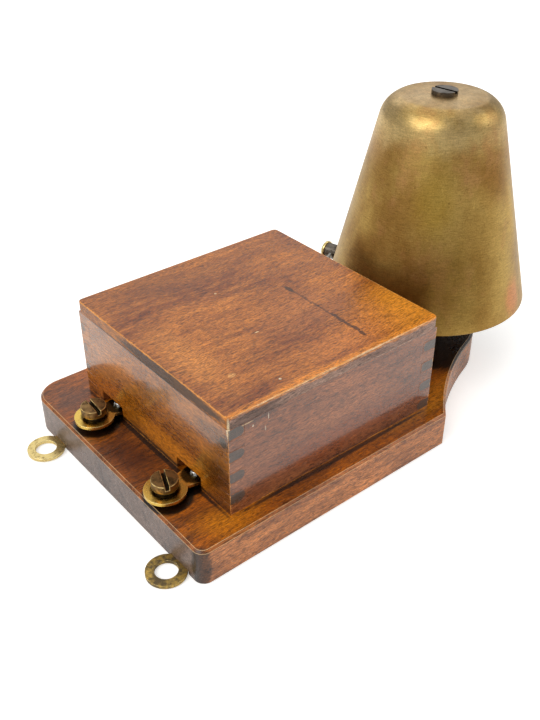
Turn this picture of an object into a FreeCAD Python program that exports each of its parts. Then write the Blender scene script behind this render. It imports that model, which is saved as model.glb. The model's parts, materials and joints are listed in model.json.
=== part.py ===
import FreeCAD, Part
import math
import os
import re

import Sketcher

# Electric door bell on a shaped wooden board: trembler mechanism under a comb-jointed wooden
# cover, brass gong on a post at the board's tongue, two screw terminals and two hanging eyes.
#
# Frame: +Z up, origin on the underside at the middle of the board's length and width, +X towards
# the gong. Positions along the board are measured from its terminal end.

DIMENSIONS = {
    # board
    "BoardWidth": 100, "BoardThickness": 12.6, "WideMargin": 1.4, "TongueReach": 19.2,
    "TongueEndRadius": 26.7, "FlankRadius": 104.6, "NearCornerRadius": 3.5, "FarCornerRadius": 9,
    "BoardEdgeEase": 0.8,
    # cover
    "CoverSetback": 16, "CoverLength": 83.1, "MagnetRoom": 14.8, "PillarRoom": 8.2,
    "WallHeight": 31.2, "WallThickness": 5.6, "LidThickness": 4, "Fingers": 4,
    "NotchClearance": 0.3, "NotchWireRoom": 4.3, "NotchHeadroom": 1.6,
    "RodSlotRoom": 3.2, "RodSlotHeadroom": 3.5,
    "BlockLength": 22, "BlockWidth": 6, "BlockHeight": 9, "BlockClearance": 0.3,
    # gong and its post
    "GongGap": 4.1, "GongAxisY": -1.6, "GongMouthHeight": 26.4, "GongHeight": 73.5,
    "GongMouthRadius": 36.8, "GongCrownRadius": 19.6, "GongShoulderRadius": 9.5, "GongWall": 1.6,
    "PostRadius": 3.2, "PostFootRadius": 8, "PostFootHeight": 3, "PostTailRadius": 2.4,
    "LeatherRadius": 6, "LeatherThickness": 1, "GongScrewShank": 2, "GongScrewLength": 9,
    "GongScrewHead": 4.45, "GongScrewHeadHeight": 1.5,
    "PostNutRadius": 4.6, "PostNutHeight": 3, "PostWasherRadius": 6.5, "PostWasherThickness": 1,
    # terminals
    "TerminalNearFromEnd": 6.3, "TerminalFarFromEnd": 8, "TerminalNearY": -24, "TerminalFarY": 20,
    "TerminalRadius": 6.6, "TerminalThickness": 1.1, "TerminalRise": 1.7, "NeckWidth": 6.4,
    "TongueWidth": 8, "TongueEnd": 28.4, "TongueFlareStart": 12.4, "TongueFlareEnd": 15.6,
    "SpacerRadius": 4.2, "TailSpacerRadius": 2.2, "TailMargin": 2.4, "SolderFromEnd": 17,
    "CollarRadius": 3.3, "CollarHeight": 1.3,
    "TerminalScrewHead": 4.15, "TerminalScrewHeadHeight": 2.7, "TerminalScrewShank": 2,
    "TerminalScrewReach": 9, "BushRadius": 3.4, "BushLength": 9, "RunningClearance": 0.05,
    "NearSlotAngle": 68, "FarSlotAngle": 86, "GongSlotAngle": 98,
    # hanging eyes
    "EyeRadius": 6.2, "EyeHoleRadius": 3.5, "EyeThickness": 1.2, "EyeTabWidth": 6.5,
    "EyeTabReach": 13, "EyeRecessDepth": 1.3, "EyeRecessClearance": 0.2,
    "EyeNearOut": 4.5, "EyeNearY": -39, "EyeFarOut": 5.5, "EyeFarY": 32,
    # electromagnet
    "FrameClearance": 0.6, "FrameRoom": 6.5, "CoilSpacing": 24, "MechanismHeight": 15.4, "IronThickness": 2.5,
    "YokeY": -22.5, "FrameDepth": 28.5, "YokeRise": 27, "CoreRadius": 3.9,
    "CoreTip": 3, "CoreScrewHead": 3.5, "CoreScrewShank": 1.8, "CoreScrewLength": 8,
    "BobbinLength": 28, "FlangeRadius": 11, "FlangeThickness": 1.5,
    "SpoolRadius": 4.8, "WindingRadius": 9.8,
    # armature, spring and hammer
    "AirGap": 1.2, "ArmatureLength": 40, "ArmatureThickness": 3.4, "ArmatureHeight": 9,
    "SpringPostGap": 3.9, "SpringThickness": 0.4, "SpringHeight": 7, "SpringTail": 26,
    "SpringHold": 10.4,
    "SpringBend": 1.7, "SpringClearance": 0.2, "SpringPostWidth": 7.5, "SpringPostDepth": 8,
    "SpringPostHeight": 20.4, "SpringFreeLength": 5, "ClampThickness": 1.5,
    "ClampScrewGrip": 4.8,
    "RodRadius": 1.1, "RodBend": 7, "RodStraight": 6, "StrikeAngle": 104, "StrikeGap": 2.5,
    "HammerRadius": 3, "HammerLength": 4.8, "HammerCapRadius": 3.5, "HammerCapLength": 1.8,
    "HammerCapRim": 1.1, "HammerCapFace": 2.45,
    # contact
    "ContactFromArmatureEnd": 16, "ContactGap": 0.1, "PillarWidth": 8, "PillarDepth": 5,
    "PillarGap": 3.2, "PillarHeight": 20.4, "ContactScrewRadius": 1.4, "LockNutRadius": 3.2,
    "LockNutThickness": 1.8, "ContactHeadRadius": 3, "ContactHeadThickness": 2,
    # small screws and wire
    "WoodScrewHead": 2.7, "WoodScrewHeadHeight": 1.8, "WoodScrewShank": 1.2,
    "WoodScrewLength": 8, "SmallScrewHead": 1.8, "SmallScrewHeadHeight": 1.3,
    "SmallScrewShank": 0.9, "SmallScrewLength": 6, "ScrewMargin": 0.6,
    "ScrewInset": 1.8,
    "WireRadius": 0.5, "WireBend": 1.6, "WireTightBend": 1.12, "WireGap": 0.1, "WireStep": 5,
    "WireStandoff": 1.5, "WireClearance": 0.6, "SolderRadius": 1.7, "SolderTopRadius": 1.2,
    "SolderHeight": 1.2,
    "NutDepth": 0.6,
}
# sizes along the board that follow from the ones above
FOLLOWING = {
    "WideLength": "CoverSetback + CoverLength + WideMargin",
    "GongAxisFromEnd": "CoverSetback + CoverLength + GongGap + GongMouthRadius",
    "BoardLength": "CoverSetback + CoverLength + GongGap + GongMouthRadius + TongueReach",
}
SLOT_WIDTH_SHARE = 0.28
SLOT_DEPTH_SHARE = 0.5

Y, Z = FreeCAD.Vector(0, 1, 0), FreeCAD.Vector(0, 0, 1)
SAME_PLACE = 0.01

doc = FreeCAD.newDocument("DoorBell")
sheet = doc.addObject("Spreadsheet::Sheet", "Dims")
rows = {**{name: str(number) for name, number in DIMENSIONS.items()},
        **{name: "=" + text for name, text in FOLLOWING.items()}}
for row, (name, content) in enumerate(rows.items(), start=1):
    sheet.set(f"A{row}", name)
    sheet.set(f"B{row}", content)
    sheet.setAlias(f"B{row}", name)
doc.recompute()

nodes = []


# ---------------------------------------------------------------- formulas and placing

def formula(text):
    """An expression in sheet terms: every dimension's name becomes a reference to its cell."""
    return re.sub(r"\b[A-Z]\w+\b", lambda word: f"Dims.{word[0]}", text)


def value(text):
    return float(sheet.evalExpression(formula(text)))


def bind(item, **formulas):
    for key, text in formulas.items():
        item.setExpression(key, formula(text))


def along(text):
    """A place along the board, measured from its terminal end, in the part's own frame."""
    return f"{text} - BoardLength / 2"


def place(item, spot, turn=None):
    if turn:
        item.Placement = FreeCAD.Placement(FreeCAD.Vector(), turn)
    for letter, text in zip("xyz", (along(spot[0]), spot[1], spot[2])):
        item.setExpression(f"Placement.Base.{letter}", formula(text))
    return item


def facing(direction):
    return FreeCAD.Rotation(Z, direction)


def node(item, label):
    item.Label = label
    nodes.append(item)
    return item


# ---------------------------------------------------------------- ways of making a piece

def box(name, corner, size):
    item = doc.addObject("Part::Box", name)
    bind(item, Length=size[0], Width=size[1], Height=size[2])
    return place(item, corner)


def rod(name, foot, radius, length, direction=Z):
    item = doc.addObject("Part::Cylinder", name)
    bind(item, Radius=radius, Height=length)
    return place(item, foot, facing(direction))


def cut(name, base, *tools):
    item = doc.addObject("Part::Cut", name)
    item.Base = base
    item.Tool = tools[0] if len(tools) == 1 else fuse(name + "_tools", *tools)
    return item


def fuse(name, *pieces):
    item = doc.addObject("Part::MultiFuse", name)
    item.Shapes = list(pieces)
    return item


def group(name, pieces):
    item = doc.addObject("Part::Compound", name)
    item.Links = list(pieces)
    return item


def drawn(body, name, plane, outline):
    """A closed sketch of straight runs on a plane of the body, each corner bound by two lengths."""
    sketch = body.newObject("Sketcher::SketchObject", name)
    support = next(item for item in body.Origin.OriginFeatures if item.Role == plane)
    sketch.AttachmentSupport = [(support, "")]
    sketch.MapMode = "FlatFace"
    corners = [FreeCAD.Vector(value(u), value(v), 0) for u, v in outline]
    count = len(corners)
    for i in range(count):
        sketch.addGeometry(Part.LineSegment(corners[i], corners[(i + 1) % count]), False)
    for i in range(count):
        sketch.addConstraint(Sketcher.Constraint("Coincident", i, 2, (i + 1) % count, 1))
    for i, (u, v) in enumerate(outline):
        for kind, text, size in (("DistanceX", u, corners[i].x), ("DistanceY", v, corners[i].y)):
            index = sketch.addConstraint(Sketcher.Constraint(kind, -1, 1, i, 1, size))
            sketch.setExpression(f"Constraints[{index}]", formula(text))
    return sketch


def plate(name, outline, depth, spot, plane="XY_Plane"):
    """A flat piece sawn or stamped to an outline."""
    body = doc.addObject("PartDesign::Body", name)
    pad = body.newObject("PartDesign::Pad", name + "_pad")
    pad.Profile = drawn(body, name + "_outline", plane, outline)
    bind(pad, Length=depth)
    body.Tip = pad
    return place(body, spot)


def turned(name, profile, spot, direction=Z, spin=0):
    """A lathe-turned piece from (radius, height) corners, its axis along the direction."""
    body = doc.addObject("PartDesign::Body", name)
    sketch = drawn(body, name + "_profile", "XZ_Plane", profile)
    turn = body.newObject("PartDesign::Revolution", name + "_turning")
    turn.Profile = sketch
    turn.ReferenceAxis = (sketch, ["V_Axis"])
    turn.Angle = 360
    body.Tip = turn
    return place(body, spot, facing(direction) * FreeCAD.Rotation(Z, spin))


def ring_profile(inner, outer, height):
    return [(inner, "0"), (outer, "0"), (outer, height), (inner, height)]


def screw(name, head, head_height, shank, reach, spot, direction=Z, spin=0):
    """A slotted cheese-head screw: the spot is the middle of the underside of its head."""
    body = turned(name, [("0", f"-({reach})"), (shank, f"-({reach})"), (shank, "0"), (head, "0"),
                         (head, head_height), ("0", head_height)], spot, direction, spin)
    slot = body.newObject("PartDesign::Pocket", name + "_slot")
    half, floor = f"{head} * {SLOT_WIDTH_SHARE / 2}", f"{head_height} * {1 - SLOT_DEPTH_SHARE}"
    slot.Profile = drawn(body, name + "_slot_outline", "YZ_Plane", [
        (f"-{half}", floor), (half, floor), (half, head_height), (f"-{half}", head_height)])
    slot.Midplane = True
    bind(slot, Length=f"{head} * 2")
    body.Tip = slot
    return body


def tube(name, route, radius, bend):
    """A wire or rod of round section: straight runs joined by tangent arcs."""
    corners = [FreeCAD.Vector(value(along(u)), value(v), value(w)) for u, v, w in route]
    size, arc = value(radius), value(bend)
    edges, start = [], corners[0]
    for before, corner, after in zip(corners, corners[1:], corners[2:]):
        back, on = (before - corner).normalize(), (after - corner).normalize()
        half = back.getAngle(on) / 2
        reach = arc / math.tan(half)
        enter, leave = corner + back * reach, corner + on * reach
        middle = corner + (back + on).normalize() * (arc / math.sin(half) - arc)
        edges += [Part.LineSegment(start, enter).toShape(), Part.Arc(enter, middle, leave).toShape()]
        start = leave
    edges.append(Part.LineSegment(start, corners[-1]).toShape())
    spine = Part.Wire(edges)
    section = Part.Wire(Part.makeCircle(size, corners[0], corners[1] - corners[0]))
    item = doc.addObject("Part::Feature", name)
    item.Shape = spine.makePipeShell([section], True, False)
    return item


def edges_where(feature, wanted):
    return [f"Edge{i}" for i, edge in enumerate(feature.Shape.Edges, start=1) if wanted(edge)]


# ---------------------------------------------------------------- board

BOARD_TOP = "BoardThickness"


def board_body():
    """The shaped board: a wide part, two hollow flanks and a round end under the gong."""
    body = doc.addObject("PartDesign::Body", "board_blank")
    sketch = body.newObject("Sketcher::SketchObject", "board_outline")
    plane = next(item for item in body.Origin.OriginFeatures if item.Role == "XY_Plane")
    sketch.AttachmentSupport = [(plane, "")]
    sketch.MapMode = "FlatFace"

    half = value("BoardWidth / 2")
    shoulder = FreeCAD.Vector(value("WideLength"), -half, 0)
    end, flank = value("TongueEndRadius"), value("FlankRadius")
    centre = FreeCAD.Vector(value("BoardLength") - end, 0, 0)
    # the flank's centre lies a flank radius from the shoulder and both radii from the end's centre
    span = (centre - shoulder).Length
    to_centre = (centre - shoulder).normalize()
    leg = (flank ** 2 + span ** 2 - (flank + end) ** 2) / (2 * span)
    side = FreeCAD.Vector(to_centre.y, -to_centre.x, 0)
    hub = shoulder + to_centre * leg + side * math.sqrt(flank ** 2 - leg ** 2)
    touch = centre + (hub - centre).normalize() * end

    def mirrored(point):
        return FreeCAD.Vector(point.x, -point.y, 0)

    def flank_arc(middle, first, last):
        a, b = (math.atan2(p.y - middle.y, p.x - middle.x) for p in (first, last))
        return Part.ArcOfCircle(Part.Circle(middle, Z, flank), a, b)

    heel = FreeCAD.Vector(0, -half, 0)
    reach = math.atan2(touch.y - centre.y, touch.x - centre.x)
    pieces = [
        Part.LineSegment(mirrored(heel), heel),
        Part.LineSegment(heel, shoulder),
        flank_arc(hub, touch, shoulder),
        Part.ArcOfCircle(Part.Circle(centre, Z, end), reach, -reach),
        flank_arc(mirrored(hub), mirrored(shoulder), mirrored(touch)),
        Part.LineSegment(mirrored(shoulder), mirrored(heel)),
    ]
    sketch.addGeometry(pieces, False)
    for first, its_end, second, its_start in ((0, 2, 1, 1), (1, 2, 2, 2), (4, 1, 5, 1), (5, 2, 0, 1)):
        sketch.addConstraint(Sketcher.Constraint("Coincident", first, its_end, second, its_start))
    sketch.addConstraint(Sketcher.Constraint("Tangent", 2, 1, 3, 1))
    sketch.addConstraint(Sketcher.Constraint("Tangent", 3, 2, 4, 2))
    sketch.addConstraint(Sketcher.Constraint("Vertical", 0))
    sketch.addConstraint(Sketcher.Constraint("Horizontal", 1))
    sketch.addConstraint(Sketcher.Constraint("Horizontal", 5))
    sketch.addConstraint(Sketcher.Constraint("PointOnObject", 3, 3, -1))
    sketch.addConstraint(Sketcher.Constraint("Symmetric", 0, 1, 0, 2, -1, 1))
    sketch.addConstraint(Sketcher.Constraint("Equal", 2, 4))
    sketch.addConstraint(Sketcher.Constraint("Equal", 1, 5))
    for constraint, text in (
        (Sketcher.Constraint("DistanceY", 0, 2, 0, 1, half * 2), "BoardWidth"),
        (Sketcher.Constraint("DistanceX", 1, 1, 1, 2, shoulder.x), "WideLength"),
        (Sketcher.Constraint("Radius", 3, end), "TongueEndRadius"),
        (Sketcher.Constraint("DistanceX", -1, 1, 3, 3, centre.x), "BoardLength - TongueEndRadius"),
        (Sketcher.Constraint("Radius", 2, flank), "FlankRadius"),
    ):
        index = sketch.addConstraint(constraint)
        sketch.setExpression(f"Constraints[{index}]", formula(text))

    pad = body.newObject("PartDesign::Pad", "board_pad")
    pad.Profile = sketch
    bind(pad, Length="BoardThickness")
    doc.recompute()
    last = pad
    for name, sign, radius in (("near_corner", -1, "NearCornerRadius"),
                               ("far_corner", 1, "FarCornerRadius")):
        fillet = body.newObject("PartDesign::Fillet", name)
        corner = FreeCAD.Vector(0, sign * half, half)
        fillet.Base = (last, edges_where(last, lambda edge: all(
            math.hypot(v.X - corner.x, v.Y - corner.y) < SAME_PLACE for v in edge.Vertexes)))
        bind(fillet, Radius=radius)
        doc.recompute()
        last = fillet
    top = value("BoardThickness")
    ease = body.newObject("PartDesign::Chamfer", "top_edge")
    ease.Base = (last, edges_where(last, lambda edge: all(
        abs(v.Z - top) < SAME_PLACE for v in edge.Vertexes)))
    bind(ease, Size="BoardEdgeEase")
    body.Tip = ease
    return place(body, ("0", "0", "0"))


TERMINALS = {
    "near": ("TerminalNearFromEnd", "TerminalNearY", "NearSlotAngle"),
    "far": ("TerminalFarFromEnd", "TerminalFarY", "FarSlotAngle"),
}
EYES = {"near": ("EyeNearOut", "EyeNearY"), "far": ("EyeFarOut", "EyeFarY")}
GONG = ("GongAxisFromEnd", "GongAxisY")
SHAFT_Z = "BoardThickness + MechanismHeight"
PLATE_Z = "BoardThickness + TerminalRise"
POLE_Y = "YokeY + IronThickness + BobbinLength + CoreTip"
ARMATURE_Y = f"{POLE_Y} + AirGap"
SPRING_Y = f"{ARMATURE_Y} + ArmatureThickness"
FRAME_START = "TongueEnd + FrameClearance"
FRAME_LENGTH = f"(CoverSetback + CoverLength - WallThickness - FrameRoom - ({FRAME_START}))"
MAGNET_MIDDLE = f"{FRAME_START} + {FRAME_LENGTH} / 2"
COIL_SPOTS = {"terminal_side": f"{MAGNET_MIDDLE} - CoilSpacing / 2",
              "gong_side": f"{MAGNET_MIDDLE} + CoilSpacing / 2"}
SPRING_POST_X = "CoverSetback + WallThickness + SpringPostGap"
ARMATURE_X = f"{SPRING_POST_X} + SpringPostWidth + SpringFreeLength"
SPRING_POST_Y = f"{SPRING_Y} - SpringClearance - SpringPostDepth"
CONTACT_X = f"{ARMATURE_X} + ArmatureLength - ContactFromArmatureEnd"
PILLAR_Y = f"{SPRING_Y} + SpringThickness + PillarGap"
TAIL_X = "TongueEnd - TailMargin"
EYE_SCREW_X = "EyeTabReach - EyeTabWidth / 2"
STRIKE_RADIUS = ("(GongMouthRadius - (GongMouthRadius - GongCrownRadius)"
                 " * (BoardThickness + MechanismHeight - GongMouthHeight) / GongHeight + StrikeGap)")
HEAD_MIDDLE = f"({STRIKE_RADIUS} + HammerLength / 2)"
PILLAR_SPOTS = {
    "spring_post": (f"{SPRING_POST_X} + SpringPostWidth / 2", f"{SPRING_POST_Y} + SpringPostDepth / 2"),
    "contact_pillar": (CONTACT_X, f"{PILLAR_Y} + PillarDepth / 2"),
}


def by_gong(distance):
    """A spot out from the gong's axis, in the direction in which the hammer stands."""
    return (f"GongAxisFromEnd + {distance} * cos(StrikeAngle * 1deg)",
            f"GongAxisY + {distance} * sin(StrikeAngle * 1deg)", SHAFT_Z)


def baseboard():
    """The board with its recesses and screw holes."""
    cuts = [
        rod("post_bore", (*GONG, "0"), "PostTailRadius", "BoardThickness"),
        rod("post_nut_recess", (*GONG, "0"), "PostWasherRadius + RunningClearance",
            "PostNutHeight + PostWasherThickness"),
    ]
    for side, (from_end, across, _) in TERMINALS.items():
        cuts.append(rod(f"{side}_bush_bore", (from_end, across, "BoardThickness - BushLength"),
                        "BushRadius", "BushLength"))
        cuts.append(rod(f"{side}_tail_bore", (TAIL_X, across, f"{PLATE_Z} + TerminalThickness"
                        " - SmallScrewLength"), "SmallScrewShank", "SmallScrewLength"))
    for side, (out, across) in EYES.items():
        cuts.append(box(f"{side}_eye_recess",
                        ("0", f"{across} - EyeTabWidth / 2 - EyeRecessClearance", "0"),
                        ("EyeTabReach + EyeRecessClearance", "EyeTabWidth + 2 * EyeRecessClearance",
                         "EyeRecessDepth")))
        cuts.append(rod(f"{side}_eye_disc_recess", (f"-{out}", across, "0"),
                        "EyeRadius + EyeRecessClearance", "EyeRecessDepth"))
        cuts.append(rod(f"{side}_eye_bore", (EYE_SCREW_X, across, "0"),
                        "WoodScrewShank", "WoodScrewLength"))
    for name, (from_end, across) in PILLAR_SPOTS.items():
        cuts.append(rod(f"{name}_bore", (from_end, across, "0"), "WoodScrewShank", "BoardThickness"))
        cuts.append(rod(f"{name}_head_recess", (from_end, across, "0"),
                        "WoodScrewHead + RunningClearance", "WoodScrewHeadHeight"))
    for name, from_end, across in frame_screw_spots():
        cuts.append(rod(f"{name}_bore",
                        (from_end, across, "BoardThickness + IronThickness - WoodScrewLength"),
                        "WoodScrewShank", "WoodScrewLength"))
    return node(cut("baseboard", board_body(), *cuts), "baseboard")


def frame_screw_spots():
    """The four wood screws at the corners of the magnet's iron foot."""
    reach = f"({FRAME_LENGTH} / 2 - WoodScrewHead - ScrewMargin)"
    spots = []
    for end, sign in (("terminal_end", "-"), ("gong_end", "+")):
        from_end = f"{MAGNET_MIDDLE} {sign} {reach}"
        spots.append((f"{end}_back", from_end, "YokeY + IronThickness + WoodScrewHead + ScrewInset"))
        spots.append((f"{end}_front", from_end, "YokeY + FrameDepth - WoodScrewHead - ScrewInset"))
    return spots


def terminals():
    """Stamped brass tongues on spacers, each with a slotted screw in a brass bush."""
    spacers, bushes, screws, solder = [], [], [], []
    shank_hole = "TerminalScrewShank + RunningClearance"
    plate_top = f"{PLATE_Z} + TerminalThickness"
    half_neck, half_tongue = "NeckWidth / 2", "TongueWidth / 2"
    for side, (from_end, across, spin) in TERMINALS.items():
        flare, tongue, tip = (
            f"{x} - {from_end}" for x in ("TongueFlareStart", "TongueFlareEnd", "TongueEnd"))
        strip = plate(f"{side}_tongue", [
            ("0", f"-{half_neck}"), (flare, f"-{half_neck}"), (tongue, f"-{half_tongue}"),
            (tip, f"-{half_tongue}"), (tip, half_tongue), (tongue, half_tongue), (flare, half_neck),
            ("0", half_neck),
        ], "TerminalThickness", (from_end, across, PLATE_Z))
        disc = rod(f"{side}_disc", (from_end, across, PLATE_Z), "TerminalRadius", "TerminalThickness")
        node(cut(f"{side}_terminal_solid", fuse(f"{side}_terminal_blank", strip, disc),
                 rod(f"{side}_disc_hole", (from_end, across, PLATE_Z), shank_hole, "TerminalThickness"),
                 rod(f"{side}_tail_hole", (TAIL_X, across, PLATE_Z), "SmallScrewShank",
                     "TerminalThickness")), f"terminal_{side}")
        spacers.append(turned(f"{side}_spacer", ring_profile(shank_hole, "SpacerRadius", "TerminalRise"),
                              (from_end, across, BOARD_TOP)))
        spacers.append(turned(f"{side}_tail_spacer",
                              ring_profile("SmallScrewShank", "TailSpacerRadius", "TerminalRise"),
                              (TAIL_X, across, BOARD_TOP)))
        bushes.append(turned(f"{side}_bush", ring_profile(shank_hole, "BushRadius", "BushLength"),
                             (from_end, across, "BoardThickness - BushLength")))
        screws.append(screw(f"{side}_tail_screw", "SmallScrewHead", "SmallScrewHeadHeight",
                            "SmallScrewShank", "SmallScrewLength", (TAIL_X, across, plate_top)))
        solder.append(turned(f"{side}_solder", [
            ("0", "0"), ("SolderRadius", "0"), ("SolderTopRadius", "SolderHeight"), ("0", "SolderHeight"),
        ], ("SolderFromEnd", across, plate_top)))
        node(turned(f"{side}_collar", ring_profile(shank_hole, "CollarRadius", "CollarHeight"),
                    (from_end, across, plate_top)), f"terminal_collar_{side}")
        node(screw(f"{side}_screw", "TerminalScrewHead", "TerminalScrewHeadHeight", "TerminalScrewShank",
                   "TerminalScrewReach", (from_end, across, f"{plate_top} + CollarHeight"),
                   spin=value(spin)), f"terminal_screw_{side}")
    node(group("spacers", spacers), "terminal_spacers")
    node(group("bushes", bushes), "terminal_bushes")
    node(group("tail_screws", screws), "terminal_tail_screws")
    node(group("solder", solder), "terminal_solder")


def hanging_eyes():
    """Flat brass eyes let into the underside, each held by one wood screw."""
    screws = []
    for side, (out, across) in EYES.items():
        blank = fuse(f"{side}_eye_blank",
                     rod(f"{side}_eye_disc", (f"-{out}", across, "0"), "EyeRadius", "EyeThickness"),
                     box(f"{side}_eye_tab", (f"-{out} + EyeHoleRadius", f"{across} - EyeTabWidth / 2", "0"),
                         (f"EyeTabReach + {out} - EyeHoleRadius", "EyeTabWidth", "EyeThickness")))
        node(cut(f"{side}_eye_solid", blank,
                 rod(f"{side}_eye_hole", (f"-{out}", across, "0"), "EyeHoleRadius", "EyeThickness"),
                 rod(f"{side}_eye_screw_hole", (EYE_SCREW_X, across, "0"),
                     "WoodScrewShank", "EyeThickness"),
                 turned(f"{side}_eye_sink", [("0", "0"), ("WoodScrewHead", "0"),
                                             ("WoodScrewShank", "EyeThickness"), ("0", "EyeThickness")],
                        (EYE_SCREW_X, across, "0"))), f"hanging_eye_{side}")
        screws.append(turned(f"{side}_eye_screw", [
            ("0", "0"), ("WoodScrewHead", "0"), ("WoodScrewShank", "EyeThickness"),
            ("WoodScrewShank", "WoodScrewLength"), ("0", "WoodScrewLength")], (EYE_SCREW_X, across, "0")))
    node(group("eye_screws", screws), "hanging_eye_screws")


# ---------------------------------------------------------------- gong

GONG_TOP = "GongMouthHeight + GongHeight"


def gong():
    """A spun brass sugar-loaf gong, clamped on a shouldered post by a slotted screw."""
    blank = turned("gong_blank", [("0", "0"), ("GongMouthRadius", "0"), ("GongCrownRadius", "GongHeight"),
                                  ("0", "GongHeight")], (*GONG, "GongMouthHeight"))
    doc.recompute()
    solid = blank.Tip
    height = value("GongHeight")
    shoulder = blank.newObject("PartDesign::Fillet", "gong_shoulder")
    shoulder.Base = (solid, edges_where(solid, lambda edge: edge.Closed and len(edge.Vertexes) == 1
                                        and abs(edge.Vertexes[0].Z - height) < SAME_PLACE))
    bind(shoulder, Radius="GongShoulderRadius")
    doc.recompute()
    mouth = next(f"Face{i}" for i, face in enumerate(shoulder.Shape.Faces, start=1)
                 if abs(face.BoundBox.ZMax) < SAME_PLACE)
    shell = blank.newObject("PartDesign::Thickness", "gong_shell")
    shell.Base = (shoulder, [mouth])
    bind(shell, Value="GongWall")
    shell.Reversed = True
    blank.Tip = shell
    node(cut("gong_solid", blank, rod("gong_hole", (*GONG, GONG_TOP + " - GongWall"),
                                      "GongScrewShank", "GongWall")), "gong")

    crown_z = f"{GONG_TOP} - GongWall"
    shoulder_z = f"{crown_z} - LeatherThickness"
    post = turned("post_turning", [
        ("0", "NutDepth - BoardThickness"), ("PostTailRadius", "NutDepth - BoardThickness"),
        ("PostTailRadius", "0"),
        ("PostFootRadius", "0"), ("PostFootRadius", "PostFootHeight"), ("PostRadius", "PostFootHeight"),
        ("PostRadius", f"{shoulder_z} - BoardThickness"), ("0", f"{shoulder_z} - BoardThickness"),
    ], (*GONG, BOARD_TOP))
    node(cut("post_solid", post, rod("post_tapping", (*GONG, f"{GONG_TOP} - GongScrewLength"),
                                     "GongScrewShank", "GongScrewLength")), "gong_post")
    node(turned("leather", ring_profile("GongScrewShank", "LeatherRadius", "LeatherThickness"),
                (*GONG, shoulder_z)), "gong_washer")
    node(screw("crown_screw", "GongScrewHead", "GongScrewHeadHeight", "GongScrewShank", "GongScrewLength",
               (*GONG, GONG_TOP), spin=value("GongSlotAngle")), "gong_screw")
    node(turned("post_washer_ring",
                ring_profile("PostTailRadius", "PostWasherRadius", "PostWasherThickness"),
                (*GONG, "PostNutHeight")), "post_washer")
    nut = doc.addObject("Part::Prism", "post_nut_blank")
    nut.Polygon = 6
    bind(nut, Circumradius="PostNutRadius", Height="PostNutHeight - NutDepth")
    place(nut, (*GONG, "NutDepth"))
    node(cut("post_nut_solid", nut, rod("post_nut_thread", (*GONG, "0"), "PostTailRadius",
                                        "PostNutHeight")), "post_nut")


# ---------------------------------------------------------------- electromagnet

def electromagnet():
    """A horseshoe magnet lying on its side: iron angle, two cores, two wound bobbins."""
    angle = plate("frame_angle", [
        ("0", "0"), ("FrameDepth", "0"), ("FrameDepth", "IronThickness"),
        ("IronThickness", "IronThickness"), ("IronThickness", "YokeRise"), ("0", "YokeRise"),
    ], FRAME_LENGTH, (FRAME_START, "YokeY", BOARD_TOP), "YZ_Plane")
    holes = [rod(f"{name}_frame_hole", (from_end, across, BOARD_TOP), "WoodScrewShank", "IronThickness")
             for name, from_end, across in frame_screw_spots()]
    holes += [rod(f"{side}_yoke_hole", (from_end, "YokeY", SHAFT_Z), "CoreScrewShank", "IronThickness", Y)
              for side, from_end in COIL_SPOTS.items()]
    node(cut("frame_solid", angle, *holes), "magnet_frame")
    node(group("frame_screws", [
        screw(f"{name}_screw", "WoodScrewHead", "WoodScrewHeadHeight", "WoodScrewShank",
              "WoodScrewLength", (from_end, across, "BoardThickness + IronThickness"))
        for name, from_end, across in frame_screw_spots()]), "magnet_frame_screws")

    inner_y = "YokeY + IronThickness"
    core_screws = []
    for side, from_end in COIL_SPOTS.items():
        core = rod(f"{side}_core", (from_end, inner_y, SHAFT_Z), "CoreRadius", "BobbinLength + CoreTip", Y)
        node(cut(f"{side}_core_solid", core,
                 rod(f"{side}_core_tapping", (from_end, inner_y, SHAFT_Z), "CoreScrewShank",
                     "CoreScrewLength - IronThickness", Y)), f"core_{side}")
        node(turned(f"{side}_bobbin", [
            ("CoreRadius", "0"), ("FlangeRadius", "0"), ("FlangeRadius", "FlangeThickness"),
            ("SpoolRadius", "FlangeThickness"), ("SpoolRadius", "BobbinLength - FlangeThickness"),
            ("FlangeRadius", "BobbinLength - FlangeThickness"), ("FlangeRadius", "BobbinLength"),
            ("CoreRadius", "BobbinLength")], (from_end, inner_y, SHAFT_Z), Y), f"bobbin_{side}")
        node(turned(f"{side}_winding", ring_profile("SpoolRadius", "WindingRadius",
                                                    "BobbinLength - 2 * FlangeThickness"),
                    (from_end, f"{inner_y} + FlangeThickness", SHAFT_Z), Y), f"winding_{side}")
        core_screws.append(screw(f"{side}_core_screw", "CoreScrewHead", "WoodScrewHeadHeight",
                                 "CoreScrewShank", "CoreScrewLength", (from_end, "YokeY", SHAFT_Z), -Y))
    node(group("core_screws", core_screws), "core_screws")


# ---------------------------------------------------------------- armature and hammer

def spring_screw_spots(start, span):
    """Two small screws, a quarter and three quarters of the way along a span."""
    return [f"{start} + {span} * 0.25", f"{start} + {span} * 0.75"]


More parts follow.
